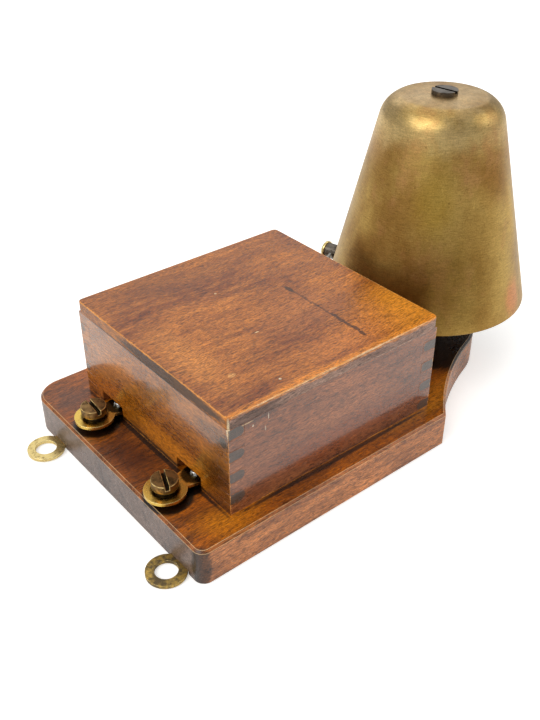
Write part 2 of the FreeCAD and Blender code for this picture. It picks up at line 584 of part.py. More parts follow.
def armature():
    """The iron armature on its flat spring, with the hammer rod driven into its free end."""
    bar_y = f"{ARMATURE_Y} + ArmatureThickness / 2"
    outward = FreeCAD.Vector(value("cos(StrikeAngle * 1deg)"), value("sin(StrikeAngle * 1deg)"), 0)
    shaft = node(tube("rod_wire", [
        (f"{ARMATURE_X} + ArmatureLength - RodStraight", bar_y, SHAFT_Z),
        (f"{ARMATURE_X} + ArmatureLength + RodStraight", bar_y, SHAFT_Z), by_gong(HEAD_MIDDLE),
    ], "RodRadius", "RodBend"), "hammer_rod")
    node(cut("head_solid", rod("head_blank", by_gong(STRIKE_RADIUS), "HammerRadius", "HammerLength",
                               outward), shaft), "hammer_head")
    node(turned("cap", [("0", "0"), ("HammerCapRadius", "0"), ("HammerCapRadius", "HammerCapRim"),
                        ("HammerCapFace", "HammerCapLength"), ("0", "HammerCapLength")],
                by_gong(f"({STRIKE_RADIUS} + HammerLength)"), outward), "hammer_cap")

    # the spring lies along the armature's outer face and its tail bends out to the contact screw
    spring_x = "SpringPostWidth + SpringFreeLength"
    hold = f"{spring_x} + SpringHold"
    leaf = plate("leaf", [
        ("0", "0"), (hold, "0"), (f"{spring_x} + SpringTail", "SpringBend"),
        (f"{spring_x} + SpringTail", "SpringBend + SpringThickness"), (hold, "SpringThickness"),
        ("0", "SpringThickness"),
    ], "SpringHeight", (SPRING_POST_X, SPRING_Y, f"{SHAFT_Z} - SpringHeight / 2"))
    armature_screws = spring_screw_spots(ARMATURE_X, "SpringHold")
    clamp_screws = spring_screw_spots(SPRING_POST_X, "SpringPostWidth")
    holes = [rod(f"leaf_hole_{i}", (spot, SPRING_Y, SHAFT_Z), "SmallScrewShank", "SpringThickness", Y)
             for i, spot in enumerate(armature_screws)]
    holes += [rod(f"leaf_clamp_hole_{i}", (spot, SPRING_Y, SHAFT_Z),
                  "SmallScrewShank + 2 * SpringClearance", "SpringThickness", Y)
              for i, spot in enumerate(clamp_screws)]
    node(cut("leaf_solid", leaf, *holes), "armature_spring")
    bar = box("armature_bar", (ARMATURE_X, ARMATURE_Y, f"{SHAFT_Z} - ArmatureHeight / 2"),
              ("ArmatureLength", "ArmatureThickness", "ArmatureHeight"))
    bores = [rod(f"armature_tapping_{i}", (spot, ARMATURE_Y, SHAFT_Z), "SmallScrewShank",
                 "ArmatureThickness", Y) for i, spot in enumerate(armature_screws)]
    node(cut("armature_solid", bar, shaft, *bores), "armature")
    node(group("armature_screws", [
        screw(f"armature_screw_{i}", "SmallScrewHead", "SmallScrewHeadHeight", "SmallScrewShank",
              "SpringThickness + ArmatureThickness", (spot, f"{SPRING_Y} + SpringThickness", SHAFT_Z), Y)
        for i, spot in enumerate(armature_screws)]), "armature_screws")

    post = box("spring_post_block", (SPRING_POST_X, SPRING_POST_Y, BOARD_TOP),
               ("SpringPostWidth", "SpringPostDepth", "SpringPostHeight"))
    clamp_y = f"{SPRING_Y} + SpringThickness + SpringClearance"
    bite = "ClampThickness + 2 * SpringClearance + SpringThickness + ClampScrewGrip"
    taps = [rod(f"post_tapping_{i}", (spot, f"{clamp_y} + ClampThickness - ({bite})", SHAFT_Z),
                "SmallScrewShank", bite, Y) for i, spot in enumerate(clamp_screws)]
    under = PILLAR_SPOTS["spring_post"]
    taps.append(rod("spring_post_tapping", (*under, BOARD_TOP), "WoodScrewShank",
                    "WoodScrewLength"))
    node(cut("spring_post_solid", post, *taps), "spring_post")
    strip = box("clamp_strip", (SPRING_POST_X, clamp_y, f"{SHAFT_Z} - SpringHeight / 2"),
                ("SpringPostWidth", "ClampThickness", "SpringHeight"))
    node(cut("clamp_solid", strip, *[
        rod(f"clamp_hole_{i}", (spot, clamp_y, SHAFT_Z), "SmallScrewShank", "ClampThickness", Y)
        for i, spot in enumerate(clamp_screws)]), "spring_clamp")
    node(group("clamp_screws", [
        screw(f"clamp_screw_{i}", "SmallScrewHead", "SmallScrewHeadHeight", "SmallScrewShank", bite,
              (spot, f"{clamp_y} + ClampThickness", SHAFT_Z), Y)
        for i, spot in enumerate(clamp_screws)]), "spring_clamp_screws")


def contact():
    """The contact pillar with its adjusting screw and lock nut."""
    tip_y = f"{SPRING_Y} + SpringThickness + SpringBend + ContactGap"
    screw_z = SHAFT_Z
    pillar = box("pillar_block", (f"{CONTACT_X} - PillarWidth / 2", PILLAR_Y, BOARD_TOP),
                 ("PillarWidth", "PillarDepth", "PillarHeight"))
    node(cut("pillar_solid", pillar,
             rod("pillar_thread", (CONTACT_X, PILLAR_Y, screw_z), "ContactScrewRadius + RunningClearance",
                 "PillarDepth", Y),
             rod("pillar_tapping", (*PILLAR_SPOTS["contact_pillar"], BOARD_TOP), "WoodScrewShank",
                 "WoodScrewLength")), "contact_pillar")
    nut = doc.addObject("Part::Prism", "lock_nut_blank")
    nut.Polygon = 6
    bind(nut, Circumradius="LockNutRadius", Height="LockNutThickness")
    nut_y = f"{PILLAR_Y} + PillarDepth"
    place(nut, (CONTACT_X, nut_y, screw_z), facing(Y))
    node(cut("lock_nut_solid", nut, rod("lock_nut_thread", (CONTACT_X, nut_y, screw_z),
                                        "ContactScrewRadius + RunningClearance", "LockNutThickness", Y)),
         "contact_lock_nut")
    head_y = f"{nut_y} + LockNutThickness + RunningClearance"
    node(screw("contact_screw_body", "ContactHeadRadius", "ContactHeadThickness", "ContactScrewRadius",
               f"{head_y} - ({tip_y})", (CONTACT_X, head_y, screw_z), Y), "contact_screw")
    node(group("pillar_screws", [
        turned(f"{name}_screw", [
            ("0", "0"), ("WoodScrewHead", "0"), ("WoodScrewShank", "WoodScrewHeadHeight"),
            ("WoodScrewShank", "BoardThickness + WoodScrewLength"),
            ("0", "BoardThickness + WoodScrewLength")],
            (*spot, "0"))
        for name, spot in PILLAR_SPOTS.items()]), "pillar_screws")


# ---------------------------------------------------------------- wiring

def wiring():
    """Covered copper wire from the terminals through both coils and the contact."""
    low = "BoardThickness + 2 * WireRadius"
    on_tongue = f"{PLATE_Z} + TerminalThickness + WireRadius + WireGap"
    solder_end = "SolderFromEnd + SolderRadius + WireGap"
    wall_x = "CoverSetback + WallThickness"
    near_y, far_y = TERMINALS["near"][1], TERMINALS["far"][1]
    past_screw = "(SmallScrewHead + WireRadius + WireClearance)"
    first, second = COIL_SPOTS.values()
    skin = "(WindingRadius + WireGap)"
    lead_y = "YokeY + IronThickness + FlangeThickness + WireStep"
    frame_end = f"{FRAME_START} + {FRAME_LENGTH} + WireStandoff"
    node(tube("near_wire", [
        (solder_end, near_y, on_tongue), (wall_x, f"{near_y} - {past_screw}", on_tongue),
        ("TongueEnd", f"{near_y} - {past_screw}", on_tongue),
        ("TongueEnd + WireStep", "YokeY - WireStep", low), (frame_end, "YokeY - WireStep", low),
        (frame_end, lead_y, low), (frame_end, lead_y, SHAFT_Z), (f"{second} + {skin}", lead_y, SHAFT_Z),
    ], "WireRadius", "WireTightBend"), "wire_near_terminal")
    crest = f"{SHAFT_Z} + FlangeRadius + WireStandoff"
    middle_y = "YokeY + IronThickness + BobbinLength / 2"
    node(tube("link_wire", [
        (first, middle_y, f"{SHAFT_Z} + {skin}"), (first, middle_y, crest),
        (second, middle_y, crest), (second, middle_y, f"{SHAFT_Z} + {skin}"),
    ], "WireRadius", "WireTightBend"), "wire_coil_link")
    post_x, _ = PILLAR_SPOTS["spring_post"]
    node(tube("post_wire", [
        (f"{first} - {skin}", lead_y, SHAFT_Z), (post_x, lead_y, SHAFT_Z),
        (post_x, f"{SPRING_POST_Y} - WireGap", SHAFT_Z),
    ], "WireRadius", "WireBend"), "wire_to_spring_post")
    pillar_x, pillar_y = f"{CONTACT_X} - PillarWidth / 2", f"{PILLAR_Y} + PillarDepth / 2"
    node(tube("far_wire", [
        (f"{pillar_x} - WireGap", pillar_y, f"{low} + WireStep"),
        (f"{pillar_x} - WireStep", pillar_y, f"{low} + WireStep"),
        (f"{pillar_x} - 2 * WireStep", pillar_y, low),
        ("TongueEnd + WireStep", f"{far_y} + {past_screw}", low),
        ("TongueEnd", f"{far_y} + {past_screw}", on_tongue),
        (wall_x, f"{far_y} + {past_screw}", on_tongue),
        (solder_end, far_y, on_tongue),
    ], "WireRadius", "WireTightBend"), "wire_far_terminal")


# ---------------------------------------------------------------- cover

COVER_NEAR = "YokeY - MagnetRoom - WallThickness"
COVER_FAR = f"({PILLAR_Y} + PillarDepth + PillarRoom + WallThickness)"
COVER_WIDTH = f"({COVER_FAR} - ({COVER_NEAR}))"
FINGER = "WallHeight / (2 * Fingers)"


def comb(length, start_finger, end_finger, floor=()):
    """The outline of a comb-jointed wall: fingers at both ends, and openings along its foot.

    The lowest step of an end stands out to the corner if its finger flag is true."""
    count = 2 * int(value("Fingers"))
    right = []
    for step in range(count):
        edge = length if (step % 2 == 0) == end_finger else f"{length} - WallThickness"
        right += [(edge, f"{step} * {FINGER}"), (edge, f"{step + 1} * {FINGER}")]
    left = []
    for step in reversed(range(count)):
        edge = "0" if (step % 2 == 0) == start_finger else "WallThickness"
        left += [(edge, f"{step + 1} * {FINGER}"), (edge, f"{step} * {FINGER}")]
    return right + left + list(floor)


def foot_opening(low, high, height):
    return [(low, "0"), (low, height), (high, height), (high, "0")]


def cover():
    """Four comb-jointed walls and a lid; it lifts straight off over the tongues and the rod."""
    near_face = ("CoverSetback", f"{COVER_NEAR} + WallThickness", BOARD_TOP)
    far_face = ("CoverSetback", COVER_FAR, BOARD_TOP)
    node(plate("near_wall", comb("CoverLength", True, False), "WallThickness", near_face, "XZ_Plane"),
         "cover_wall_near")
    node(plate("far_wall", comb("CoverLength", True, False), "WallThickness", far_face, "XZ_Plane"),
         "cover_wall_far")
    notches = []
    for _, across, _ in TERMINALS.values():
        notches += foot_opening(f"({across} - TongueWidth / 2 - NotchClearance - ({COVER_NEAR}))",
                                f"({across} + TongueWidth / 2 + NotchWireRoom - ({COVER_NEAR}))",
                                "TerminalRise + TerminalThickness + NotchHeadroom")
    node(plate("terminal_end_wall", comb(COVER_WIDTH, False, False, notches), "WallThickness",
               ("CoverSetback", COVER_NEAR, BOARD_TOP), "YZ_Plane"), "cover_wall_terminal_end")
    slot = foot_opening(f"({rod_crossing()} - RodRadius - RodSlotRoom - ({COVER_NEAR}))",
                        f"({rod_crossing()} + RodRadius + RodSlotRoom - ({COVER_NEAR}))",
                        "MechanismHeight + RodRadius + RodSlotHeadroom")
    node(plate("gong_end_wall", comb(COVER_WIDTH, True, True, slot), "WallThickness",
               ("CoverSetback + CoverLength - WallThickness", COVER_NEAR, BOARD_TOP), "YZ_Plane"),
         "cover_wall_gong_end")
    lid = box("lid_board", ("CoverSetback", COVER_NEAR, "BoardThickness + WallHeight"),
              ("CoverLength", COVER_WIDTH, "LidThickness"))
    node(lid, "cover_lid")
    inner_near = f"{COVER_NEAR} + WallThickness + BlockClearance"
    inner_far = f"{COVER_FAR} - WallThickness - BlockClearance - BlockWidth"
    block_x = "CoverSetback + CoverLength / 2 - BlockLength / 2"
    node(group("blocks", [
        box(f"block_{side}", (block_x, across, BOARD_TOP), ("BlockLength", "BlockWidth", "BlockHeight"))
        for side, across in (("near", inner_near), ("far", inner_far))]), "cover_blocks")


def rod_crossing():
    """Where the hammer rod passes the middle of the cover's gong-end wall."""
    wall_x = "CoverSetback + CoverLength - WallThickness / 2"
    bend_x = f"({ARMATURE_X} + ArmatureLength + RodStraight)"
    bend_y = f"({ARMATURE_Y} + ArmatureThickness / 2)"
    head_x, head_y, _ = by_gong(HEAD_MIDDLE)
    return f"({bend_y} + ({head_y} - ({bend_y})) * ({wall_x} - {bend_x}) / ({head_x} - {bend_x}))"


# ---------------------------------------------------------------- build and write

baseboard()
terminals()
hanging_eyes()
gong()
electromagnet()
armature()
contact()
wiring()
cover()
doc.recompute()

faults = [item.Name for item in doc.Objects if {"Invalid", "Error"} & set(item.State)]
faults += [item.Label for item in nodes if item.Shape.isNull() or not item.Shape.isValid()]
if faults:
    raise RuntimeError(f"these objects failed: {faults}")

os.makedirs("parts", exist_ok=True)
for item in nodes:
    item.Shape.exportStep(f"parts/{item.Label}.step")
    print(f"{item.Label}: {len(item.Shape.Solids)} solids, {item.Shape.Volume:.1f} mm3")
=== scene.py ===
import json
import math
import random

import bmesh
import bpy
from mathutils import Matrix, Vector
from mathutils.bvhtree import BVHTree


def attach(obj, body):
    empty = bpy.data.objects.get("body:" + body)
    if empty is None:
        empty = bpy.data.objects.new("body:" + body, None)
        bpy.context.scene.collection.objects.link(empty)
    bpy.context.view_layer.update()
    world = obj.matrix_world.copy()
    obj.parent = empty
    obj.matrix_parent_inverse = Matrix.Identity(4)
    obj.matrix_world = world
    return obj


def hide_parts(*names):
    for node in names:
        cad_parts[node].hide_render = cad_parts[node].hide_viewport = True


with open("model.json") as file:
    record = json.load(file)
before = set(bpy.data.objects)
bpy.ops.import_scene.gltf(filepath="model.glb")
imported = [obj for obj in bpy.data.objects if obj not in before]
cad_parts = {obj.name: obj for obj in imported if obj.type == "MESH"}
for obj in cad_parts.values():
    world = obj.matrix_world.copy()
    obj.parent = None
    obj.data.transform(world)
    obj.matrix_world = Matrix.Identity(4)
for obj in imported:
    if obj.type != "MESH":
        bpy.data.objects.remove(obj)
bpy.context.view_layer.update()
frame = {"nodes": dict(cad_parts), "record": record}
MM = 0.001


# ------------------------------------------------------------------ the studio
# A pale table top under a large white tent: a soft key lamp stands off the terminal end and a
# weak one low at the gong's end, so that the lacquer and the brass have something to mirror.

def tone(code):
    """A colour written as sRGB hex, in the linear numbers that a shader takes."""
    parts = [int(code[start:start + 2], 16) / 255 for start in (1, 3, 5)]
    return [p / 12.92 if p <= 0.04045 else ((p + 0.055) / 1.055) ** 2.4 for p in parts] + [1.0]


def add(tree, kind, sockets=None, **settings):
    """Adds a node with its settings; a socket is given a value, or another node's output."""
    made = tree.nodes.new(kind)
    for name, value in settings.items():
        setattr(made, name, value)
    for key, value in (sockets or {}).items():
        if isinstance(value, bpy.types.NodeSocket):
            tree.links.new(value, made.inputs[key])
        else:
            made.inputs[key].default_value = value
    return made


def surface(name, **sockets):
    """A new material with its node tree, its shader and the object's own coordinates."""
    material = bpy.data.materials.new(name)
    material.use_nodes = True
    tree = material.node_tree
    shader = tree.nodes["Principled BSDF"]
    for key, value in sockets.items():
        shader.inputs[key.replace("_", " ")].default_value = value
    return material, tree, shader, add(tree, "ShaderNodeTexCoord").outputs["Object"]


TABLE_HALF, TABLE_DROP = 2.5, 0.3 * MM      # in metres; it lies just clear of the underside
TABLE_SEEN, TABLE_MIRRORED = 0.47, 0.16     # the glow that the camera and the mirrors see on it
LAMPS = {                   # the direction it comes from, its strength and its spread in degrees
    "key": ((-0.72, -0.05, 0.70), 1.45, 46),
    "rim": ((0.72, -0.44, 0.52), 0.50, 38),
    "top": ((0.10, 0.30, 1.00), 0.42, 60),
    "back": ((0.52, 0.64, 0.56), 0.32, 52),
}
TENT_SEEN, TENT_LIGHT, TENT_MIRRORED = 1.0, 0.5, 0.42   # behind the bell, on it and in its gloss

plane = bpy.data.meshes.new("table_top")
plane.from_pydata([(x * TABLE_HALF, y * TABLE_HALF, -TABLE_DROP)
                   for x, y in ((-1, -1), (1, -1), (1, 1), (-1, 1))], [], [(0, 1, 2, 3)])
table_top = bpy.data.objects.new("table_top", plane)
bpy.context.collection.objects.link(table_top)
# matt laminate: nearly white, no gloss
material, tree, shader, here = surface("matt_white_laminate", Roughness=0.9)
shader.inputs["Base Color"].default_value = tone("#F2F0EC")
rays = add(tree, "ShaderNodeLightPath")
glow = add(tree, "ShaderNodeMath", {0: rays.outputs["Is Glossy Ray"], 1: TABLE_MIRRORED},
           operation="MULTIPLY").outputs[0]
glow = add(tree, "ShaderNodeMath", {0: rays.outputs["Is Camera Ray"], 1: TABLE_SEEN, 2: glow},
           operation="MULTIPLY_ADD").outputs[0]
shader.inputs["Emission Color"].default_value = (1, 1, 1, 1)
tree.links.new(glow, shader.inputs["Emission Strength"])
plane.materials.append(material)

tent = bpy.data.worlds.new("tent")
tent.use_nodes = True
tree = tent.node_tree
rays = add(tree, "ShaderNodeLightPath")
lit = add(tree, "ShaderNodeMix", {0: rays.outputs["Is Glossy Ray"], 2: TENT_LIGHT, 3: TENT_MIRRORED})
level = add(tree, "ShaderNodeMix", {0: rays.outputs["Is Camera Ray"], 2: lit.outputs[0], 3: TENT_SEEN})
tree.links.new(level.outputs[0], tree.nodes["Background"].inputs["Strength"])
tree.nodes["Background"].inputs["Color"].default_value = (1, 1, 1, 1)
bpy.context.scene.world = tent

for title, (direction, strength, spread) in LAMPS.items():
    lamp = bpy.data.lights.new(title, "SUN")
    lamp.energy, lamp.angle = strength, math.radians(spread)
    stand = bpy.data.objects.new(title, lamp)
    stand.rotation_euler = Vector(direction).to_track_quat("Z", "Y").to_euler()
    bpy.context.collection.objects.link(stand)

CAMERA_AT = (-0.17270, -0.19427, 0.19377)       # in metres
CAMERA_BACK = (-0.52303, -0.64002, 0.56287)     # the way from what it looks at to the camera
CAMERA_LENS, CAMERA_SENSOR, CAMERA_NEAR = 44.43, 36, 0.01   # both in mm, and metres
eye = bpy.data.cameras.new("eye")
eye.lens, eye.sensor_width, eye.clip_start = CAMERA_LENS, CAMERA_SENSOR, CAMERA_NEAR
camera = bpy.data.objects.new("eye", eye)
camera.location = CAMERA_AT
camera.rotation_euler = (-Vector(CAMERA_BACK)).to_track_quat("-Z", "Y").to_euler()
bpy.context.collection.objects.link(camera)
bpy.context.scene.camera = camera
bpy.context.scene.view_settings.view_transform = "Standard"


# ------------------------------------------------------------------ baseboard
# A board of mahogany, stained brown and French polished over open pores. It is sawn to a waisted
# outline with a round end, drilled for the screws and recessed below for the eyes and the nut.

BODIES = {node: body for body, nodes in frame["record"]["behaviour"]["bodies"].items() for node in nodes}


def finished(name, mesh, material, body, replaced=()):
    """A finished mesh in the part's own frame, put on its body in place of the named nodes."""
    piece = bpy.data.objects.new(name, mesh)
    bpy.context.collection.objects.link(piece)
    mesh.materials.clear()
    mesh.materials.append(material)
    if replaced:
        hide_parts(*replaced)
    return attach(piece, body)


def merged(node):
    """A node's mesh with its loose triangles joined and its flat faces made whole."""
    same_point, same_plane = 0.002 * MM, math.radians(0.4)
    form = bmesh.new()
    form.from_mesh(frame["nodes"][node].data)
    bmesh.ops.remove_doubles(form, verts=form.verts, dist=same_point)
    bmesh.ops.dissolve_limit(form, angle_limit=same_plane, verts=form.verts, edges=form.edges)
    return form


def eased_copy(node, material, ease, steps=2, sharp=28, corner=None, crest=None):
    """A copy of a node with its arrises taken off, as a maker's file or abrasive leaves them.

    Edges sharper than sharp degrees are eased by ease; corner and crest are wider eases for the
    standing edges and for those round its top. Its faces carry how worn they are and how much
    stands close before them."""
    form = merged(node)
    if corner:
        upright, square = 0.99, 1.2     # least share of an edge that rises, least angle in radians
        standing = [edge for edge in form.edges
                    if abs((edge.verts[0].co - edge.verts[1].co).normalized().z) > upright
                    and len(edge.link_faces) == 2 and edge.calc_face_angle(0) > square]
        bmesh.ops.bevel(form, geom=standing, offset=corner, segments=5, profile=0.5, affect="EDGES",
                        clamp_overlap=True)
    worn = form.faces.layers.float.new("worn")
    hidden = form.faces.layers.float.new("hidden")
    level, bent = max(vert.co.z for vert in form.verts) - 0.01 * MM, 0.5
    rounds = [(crest, [edge for edge in form.edges if min(vert.co.z for vert in edge.verts) > level
                       and edge.calc_face_angle(0) > bent])] if crest else []
    rounds.append((ease, None))
    for offset, edges in rounds:
        if edges is None:
            edges = [edge for edge in form.edges if len(edge.link_faces) == 2
                     and edge.calc_face_angle(0) > math.radians(sharp)]
        made = bmesh.ops.bevel(form, geom=edges, offset=offset, segments=steps, profile=0.6,
                               affect="EDGES", clamp_overlap=True)
        for face in made["faces"]:
            face[worn] = 1.0
    form.normal_update()
    # looks out from each face eight ways, half up: a slot's floor and walls see metal close by
    shell = BVHTree.FromBMesh(form)
    off_face, rise, close_by = 0.02 * MM, 0.9, 1.5 * MM
    for face in form.faces:
        face.smooth = True
        middle = face.calc_center_median() + face.normal * off_face
        side = face.normal.orthogonal().normalized()
        looks = [Matrix.Rotation(turn * math.pi / 4, 3, face.normal) @ side for turn in range(8)]
        blocked = [look for look in looks
                   if shell.ray_cast(middle, (look + face.normal * rise).normalized(), close_by)[0]]
        face[hidden] = len(blocked) / len(looks)
    mesh = bpy.data.meshes.new(node + "_finished")
    form.to_mesh(mesh)
    form.free()
    mesh.set_sharp_from_angle(angle=math.radians(40))
    piece = finished(node + "_piece", mesh, material, BODIES[node], (node,))
    weighted = piece.modifiers.new("weighted", "WEIGHTED_NORMAL")
    weighted.keep_sharp = True
    return piece


def marked(tree, here, colour, marks, fine, coarse):
    """Lays stains, painted shadows, painted highlights and painted reflections over a colour: centre and half
    size in mm, colour, strength, raggedness.

    A noise of mean one half pushes the rim in and out. A clean rim fades from 0.88 of the
    radius, a ragged one from 0.7, and that of a mark of 5 mm or more from 0.2."""
    for centre, reach, code, strength, broken in marks:
        clean = broken <= 0.12
        small = clean or sorted(reach)[1] < 5
        fade_from = 0.88 if clean else 0.7 if small else 0.2
        offset = add(tree, "ShaderNodeVectorMath", {0: here, 1: [c * MM for c in centre]},
                     operation="SUBTRACT").outputs[0]
        scaled = add(tree, "ShaderNodeVectorMath", {0: offset, 1: [1 / (r * MM) for r in reach]},
                     operation="MULTIPLY").outputs[0]
        away = add(tree, "ShaderNodeVectorMath", {0: scaled}, operation="LENGTH").outputs["Value"]
        ragged = add(tree, "ShaderNodeMath", {0: fine if small else coarse, 1: 2.6 * broken, 2: away},
                     operation="MULTIPLY_ADD").outputs[0]
        pushed = 1.3 * broken
        mask = add(tree, "ShaderNodeMapRange", {0: ragged, 1: 1.05 + pushed, 2: fade_from + pushed,
                                                3: 0.0, 4: strength},
                   interpolation_type="SMOOTHSTEP").outputs[0]
        colour = add(tree, "ShaderNodeMix", {0: mask, 6: colour, 7: tone(code)},
                     data_type="RGBA").outputs[2]
    return colour


def coated(tree, shader, colour, height, depth, strength):
    """Links a colour to the shader, and a height as a relief of the given depth in mm."""
    tree.links.new(colour, shader.inputs["Base Color"])
    bump = add(tree, "ShaderNodeBump", {"Height": height, "Distance": depth * MM, "Strength": strength})
    tree.links.new(bump.outputs[0], shader.inputs["Normal"])


def stained_timber(name, top, side, end, turned=False, marks=(), rubbed="#E8A85C", rub=1.0,
                   seed=0.0, heart=(0.0, 0.06, -0.05), polish=0.14, sheen=0.5, stripe=0.24,
                   mottle=0.2, edges=None, fingers=None, raw=None):
    """Stained and polished hardwood, its grain along X; turned lays it along Y on the X faces.

    top, side and end are the dark and light of the Z, Y and X faces. Rings 5 mm apart, stripes
    5 mm wide, fibre 1 mm wide and 14 mm long, vessels 0.3 mm wide and 2.4 mm long, clouds of
    stain some 20 mm across; fibre and vessels are drawn about twice as coarse as in life, so
    that they show. stripe and mottle are how much the stripes and the flecks count, heart is
    where the rings' centre lies, polish and sheen are the coat's roughness and weight. edges is
    the box whose arrises are rubbed, fingers the comb joint drawn on its Y faces, raw the wood
    inside it."""
    material, tree, shader, here = surface(name, Metallic=0.0, IOR=1.45)
    shader.inputs["Coat Weight"].default_value = sheen
    shader.inputs["Coat IOR"].default_value = 1.5
    shader.inputs["Coat Roughness"].default_value = polish
    facing = add(tree, "ShaderNodeVectorMath", {
        0: add(tree, "ShaderNodeTexCoord").outputs["Normal"]}, operation="ABSOLUTE").outputs[0]
    facing = add(tree, "ShaderNodeSeparateXYZ", {0: facing}).outputs
    upward = add(tree, "ShaderNodeMapRange", {0: facing[2], 1: 0.4, 2: 0.85}).outputs[0]
    endward = add(tree, "ShaderNodeMapRange", {0: facing[0], 1: 0.55, 2: 0.95}).outputs[0]
    along = add(tree, "ShaderNodeMapping", {"Vector": here, "Location": (seed, 0, 0)}).outputs[0]
    if turned:
        across = add(tree, "ShaderNodeMapping", {"Vector": here, "Location": (0, seed, 0),
                                                 "Rotation": (0, 0, math.pi / 2)}).outputs[0]
        along = add(tree, "ShaderNodeMix", {0: endward, 4: along, 5: across},
                    data_type="VECTOR").outputs[1]
    bend = add(tree, "ShaderNodeTexNoise", {"Vector": along, "Scale": 26.0, "Detail": 3.0})
    bent = add(tree, "ShaderNodeVectorMath", {
        0: bend.outputs["Color"], 1: (0.0, 0.008, 0.006), 2: along}, operation="MULTIPLY_ADD")
    log = add(tree, "ShaderNodeVectorMath", {0: bent.outputs[0], 1: heart}, operation="ADD")
    ring_gap = 5.0 * MM
    rings = add(tree, "ShaderNodeTexWave", {"Vector": log.outputs[0], "Distortion": 0.0,
                                            "Scale": 2 * math.pi / (20 * ring_gap)},
                wave_type="RINGS", rings_direction="X", wave_profile="SIN")
    # each noise: 0.1 draws its cells ten times as long as wide, then cells per metre, detail, roughness
    layers = {}
    for title, stretch, scale, detail, rough in (
            ("figure", 0.1, 190, 4, 0.6), ("fibre", 0.08, 900, 4, 0.75), ("vessel", 0.14, 3000, 2, 0.6),
            ("cloud", 0.5, 55, 5, 0.62), ("speckle", 0.3, 2900, 2, 0.7), ("fleck", 0.3, 700, 5, 0.8)):
        drawn = add(tree, "ShaderNodeVectorMath", {0: bent.outputs[0], 1: (stretch, 1, 1)},
                    operation="MULTIPLY").outputs[0]
        layers[title] = add(tree, "ShaderNodeTexNoise", {
            "Vector": drawn, "Scale": float(scale), "Detail": float(detail),
            "Roughness": rough}).outputs[0]
    shade = layers["cloud"]
    for other, weight in ((layers["figure"], stripe), (rings.outputs[1], 0.04), (layers["fibre"], 0.3),
                          (layers["fleck"], mottle)):
        shade = add(tree, "ShaderNodeMix", {0: weight, 2: shade, 3: other}).outputs[0]
    shade = add(tree, "ShaderNodeMapRange", {0: shade, 1: 0.4, 2: 0.6}).outputs[0]
    on_side, on_end, on_top = [
        add(tree, "ShaderNodeMix", {0: shade, 6: tone(dark), 7: tone(light)}, data_type="RGBA").outputs[2]
        for dark, light in (side, end, top)]
    colour = add(tree, "ShaderNodeMix", {0: endward, 6: on_side, 7: on_end}, data_type="RGBA").outputs[2]
    colour = add(tree, "ShaderNodeMix", {0: upward, 6: colour, 7: on_top}, data_type="RGBA").outputs[2]
    colour = marked(tree, here, colour, marks, layers["fleck"], layers["cloud"])
    # vessels hold the stain and the polish darkens in a close speckle
    pores = add(tree, "ShaderNodeMapRange", {0: layers["vessel"], 1: 0.5, 2: 0.63,
                                             3: 1.0, 4: 0.42}).outputs[0]
    dots = add(tree, "ShaderNodeMapRange", {0: layers["speckle"], 1: 0.3, 2: 0.66,
                                            3: 1.42, 4: 0.62}).outputs[0]
    pores = add(tree, "ShaderNodeMath", {0: pores, 1: dots}, operation="MULTIPLY").outputs[0]
    colour = add(tree, "ShaderNodeVectorMath", {0: colour, "Scale": pores}, operation="SCALE").outputs[0]
    if fingers:
        # the end grain of the comb's fingers, gone black in the shape that the cutter left
        (low, _, foot), (high, _, lid_top) = edges
        pitch, flat, radius, code = fingers
        lid_thickness, rim = 4.1 * MM, (0.34 * MM, 0.16 * MM)   # the black fades between the rims
        place = add(tree, "ShaderNodeSeparateXYZ", {0: here}).outputs
        depths = []
        for face in (low, high):
            depth = add(tree, "ShaderNodeMath", {0: place[0], 1: face}, operation="SUBTRACT").outputs[0]
            depths.append(add(tree, "ShaderNodeMath", {0: depth}, operation="ABSOLUTE").outputs[0])
        depth = add(tree, "ShaderNodeMath", {0: depths[0], 1: depths[1]}, operation="MINIMUM").outputs[0]
        past = add(tree, "ShaderNodeMath", {0: depth, 1: flat}, operation="SUBTRACT").outputs[0]
        past = add(tree, "ShaderNodeMath", {0: past, 1: 0.0}, operation="MAXIMUM").outputs[0]
        # odd steps at the terminal end, even ones at the gong's end
        there = add(tree, "ShaderNodeMath", {0: place[0], 1: (low + high) / 2},
                    operation="GREATER_THAN").outputs[0]
        step = add(tree, "ShaderNodeMath", {0: there, 1: 1.0, 2: -0.5 - foot / pitch},
                   operation="MULTIPLY_ADD").outputs[0]
        step = add(tree, "ShaderNodeMath", {0: place[2], 1: 1 / pitch, 2: step},
                   operation="MULTIPLY_ADD").outputs[0]
        for operation, number in (("FLOORED_MODULO", 2.0), ("SUBTRACT", 1.0), ("MULTIPLY", pitch)):
            step = add(tree, "ShaderNodeMath", {0: step, 1: number}, operation=operation).outputs[0]
        flatly = add(tree, "ShaderNodeCombineXYZ", {0: past, 1: step}).outputs[0]
        reach = add(tree, "ShaderNodeVectorMath", {0: flatly}, operation="LENGTH").outputs["Value"]
        wobble = add(tree, "ShaderNodeMath", {0: layers["fleck"], 1: 0.6 * MM, 2: reach},
                     operation="MULTIPLY_ADD").outputs[0]
        black = add(tree, "ShaderNodeMapRange", {0: wobble, 1: radius + rim[0], 2: radius + rim[1],
                                                 3: 0.0, 4: 0.86}).outputs[0]
        below = add(tree, "ShaderNodeMath", {0: place[2], 1: lid_top - lid_thickness},
                    operation="LESS_THAN").outputs[0]
        sides = add(tree, "ShaderNodeMath", {0: facing[1], 1: 0.7}, operation="GREATER_THAN").outputs[0]
        for mask in (below, sides):
            black = add(tree, "ShaderNodeMath", {0: black, 1: mask}, operation="MULTIPLY").outputs[0]
        slate = add(tree, "ShaderNodeVectorMath", {0: tone(code)[:3], "Scale": dots},
                    operation="SCALE").outputs[0]
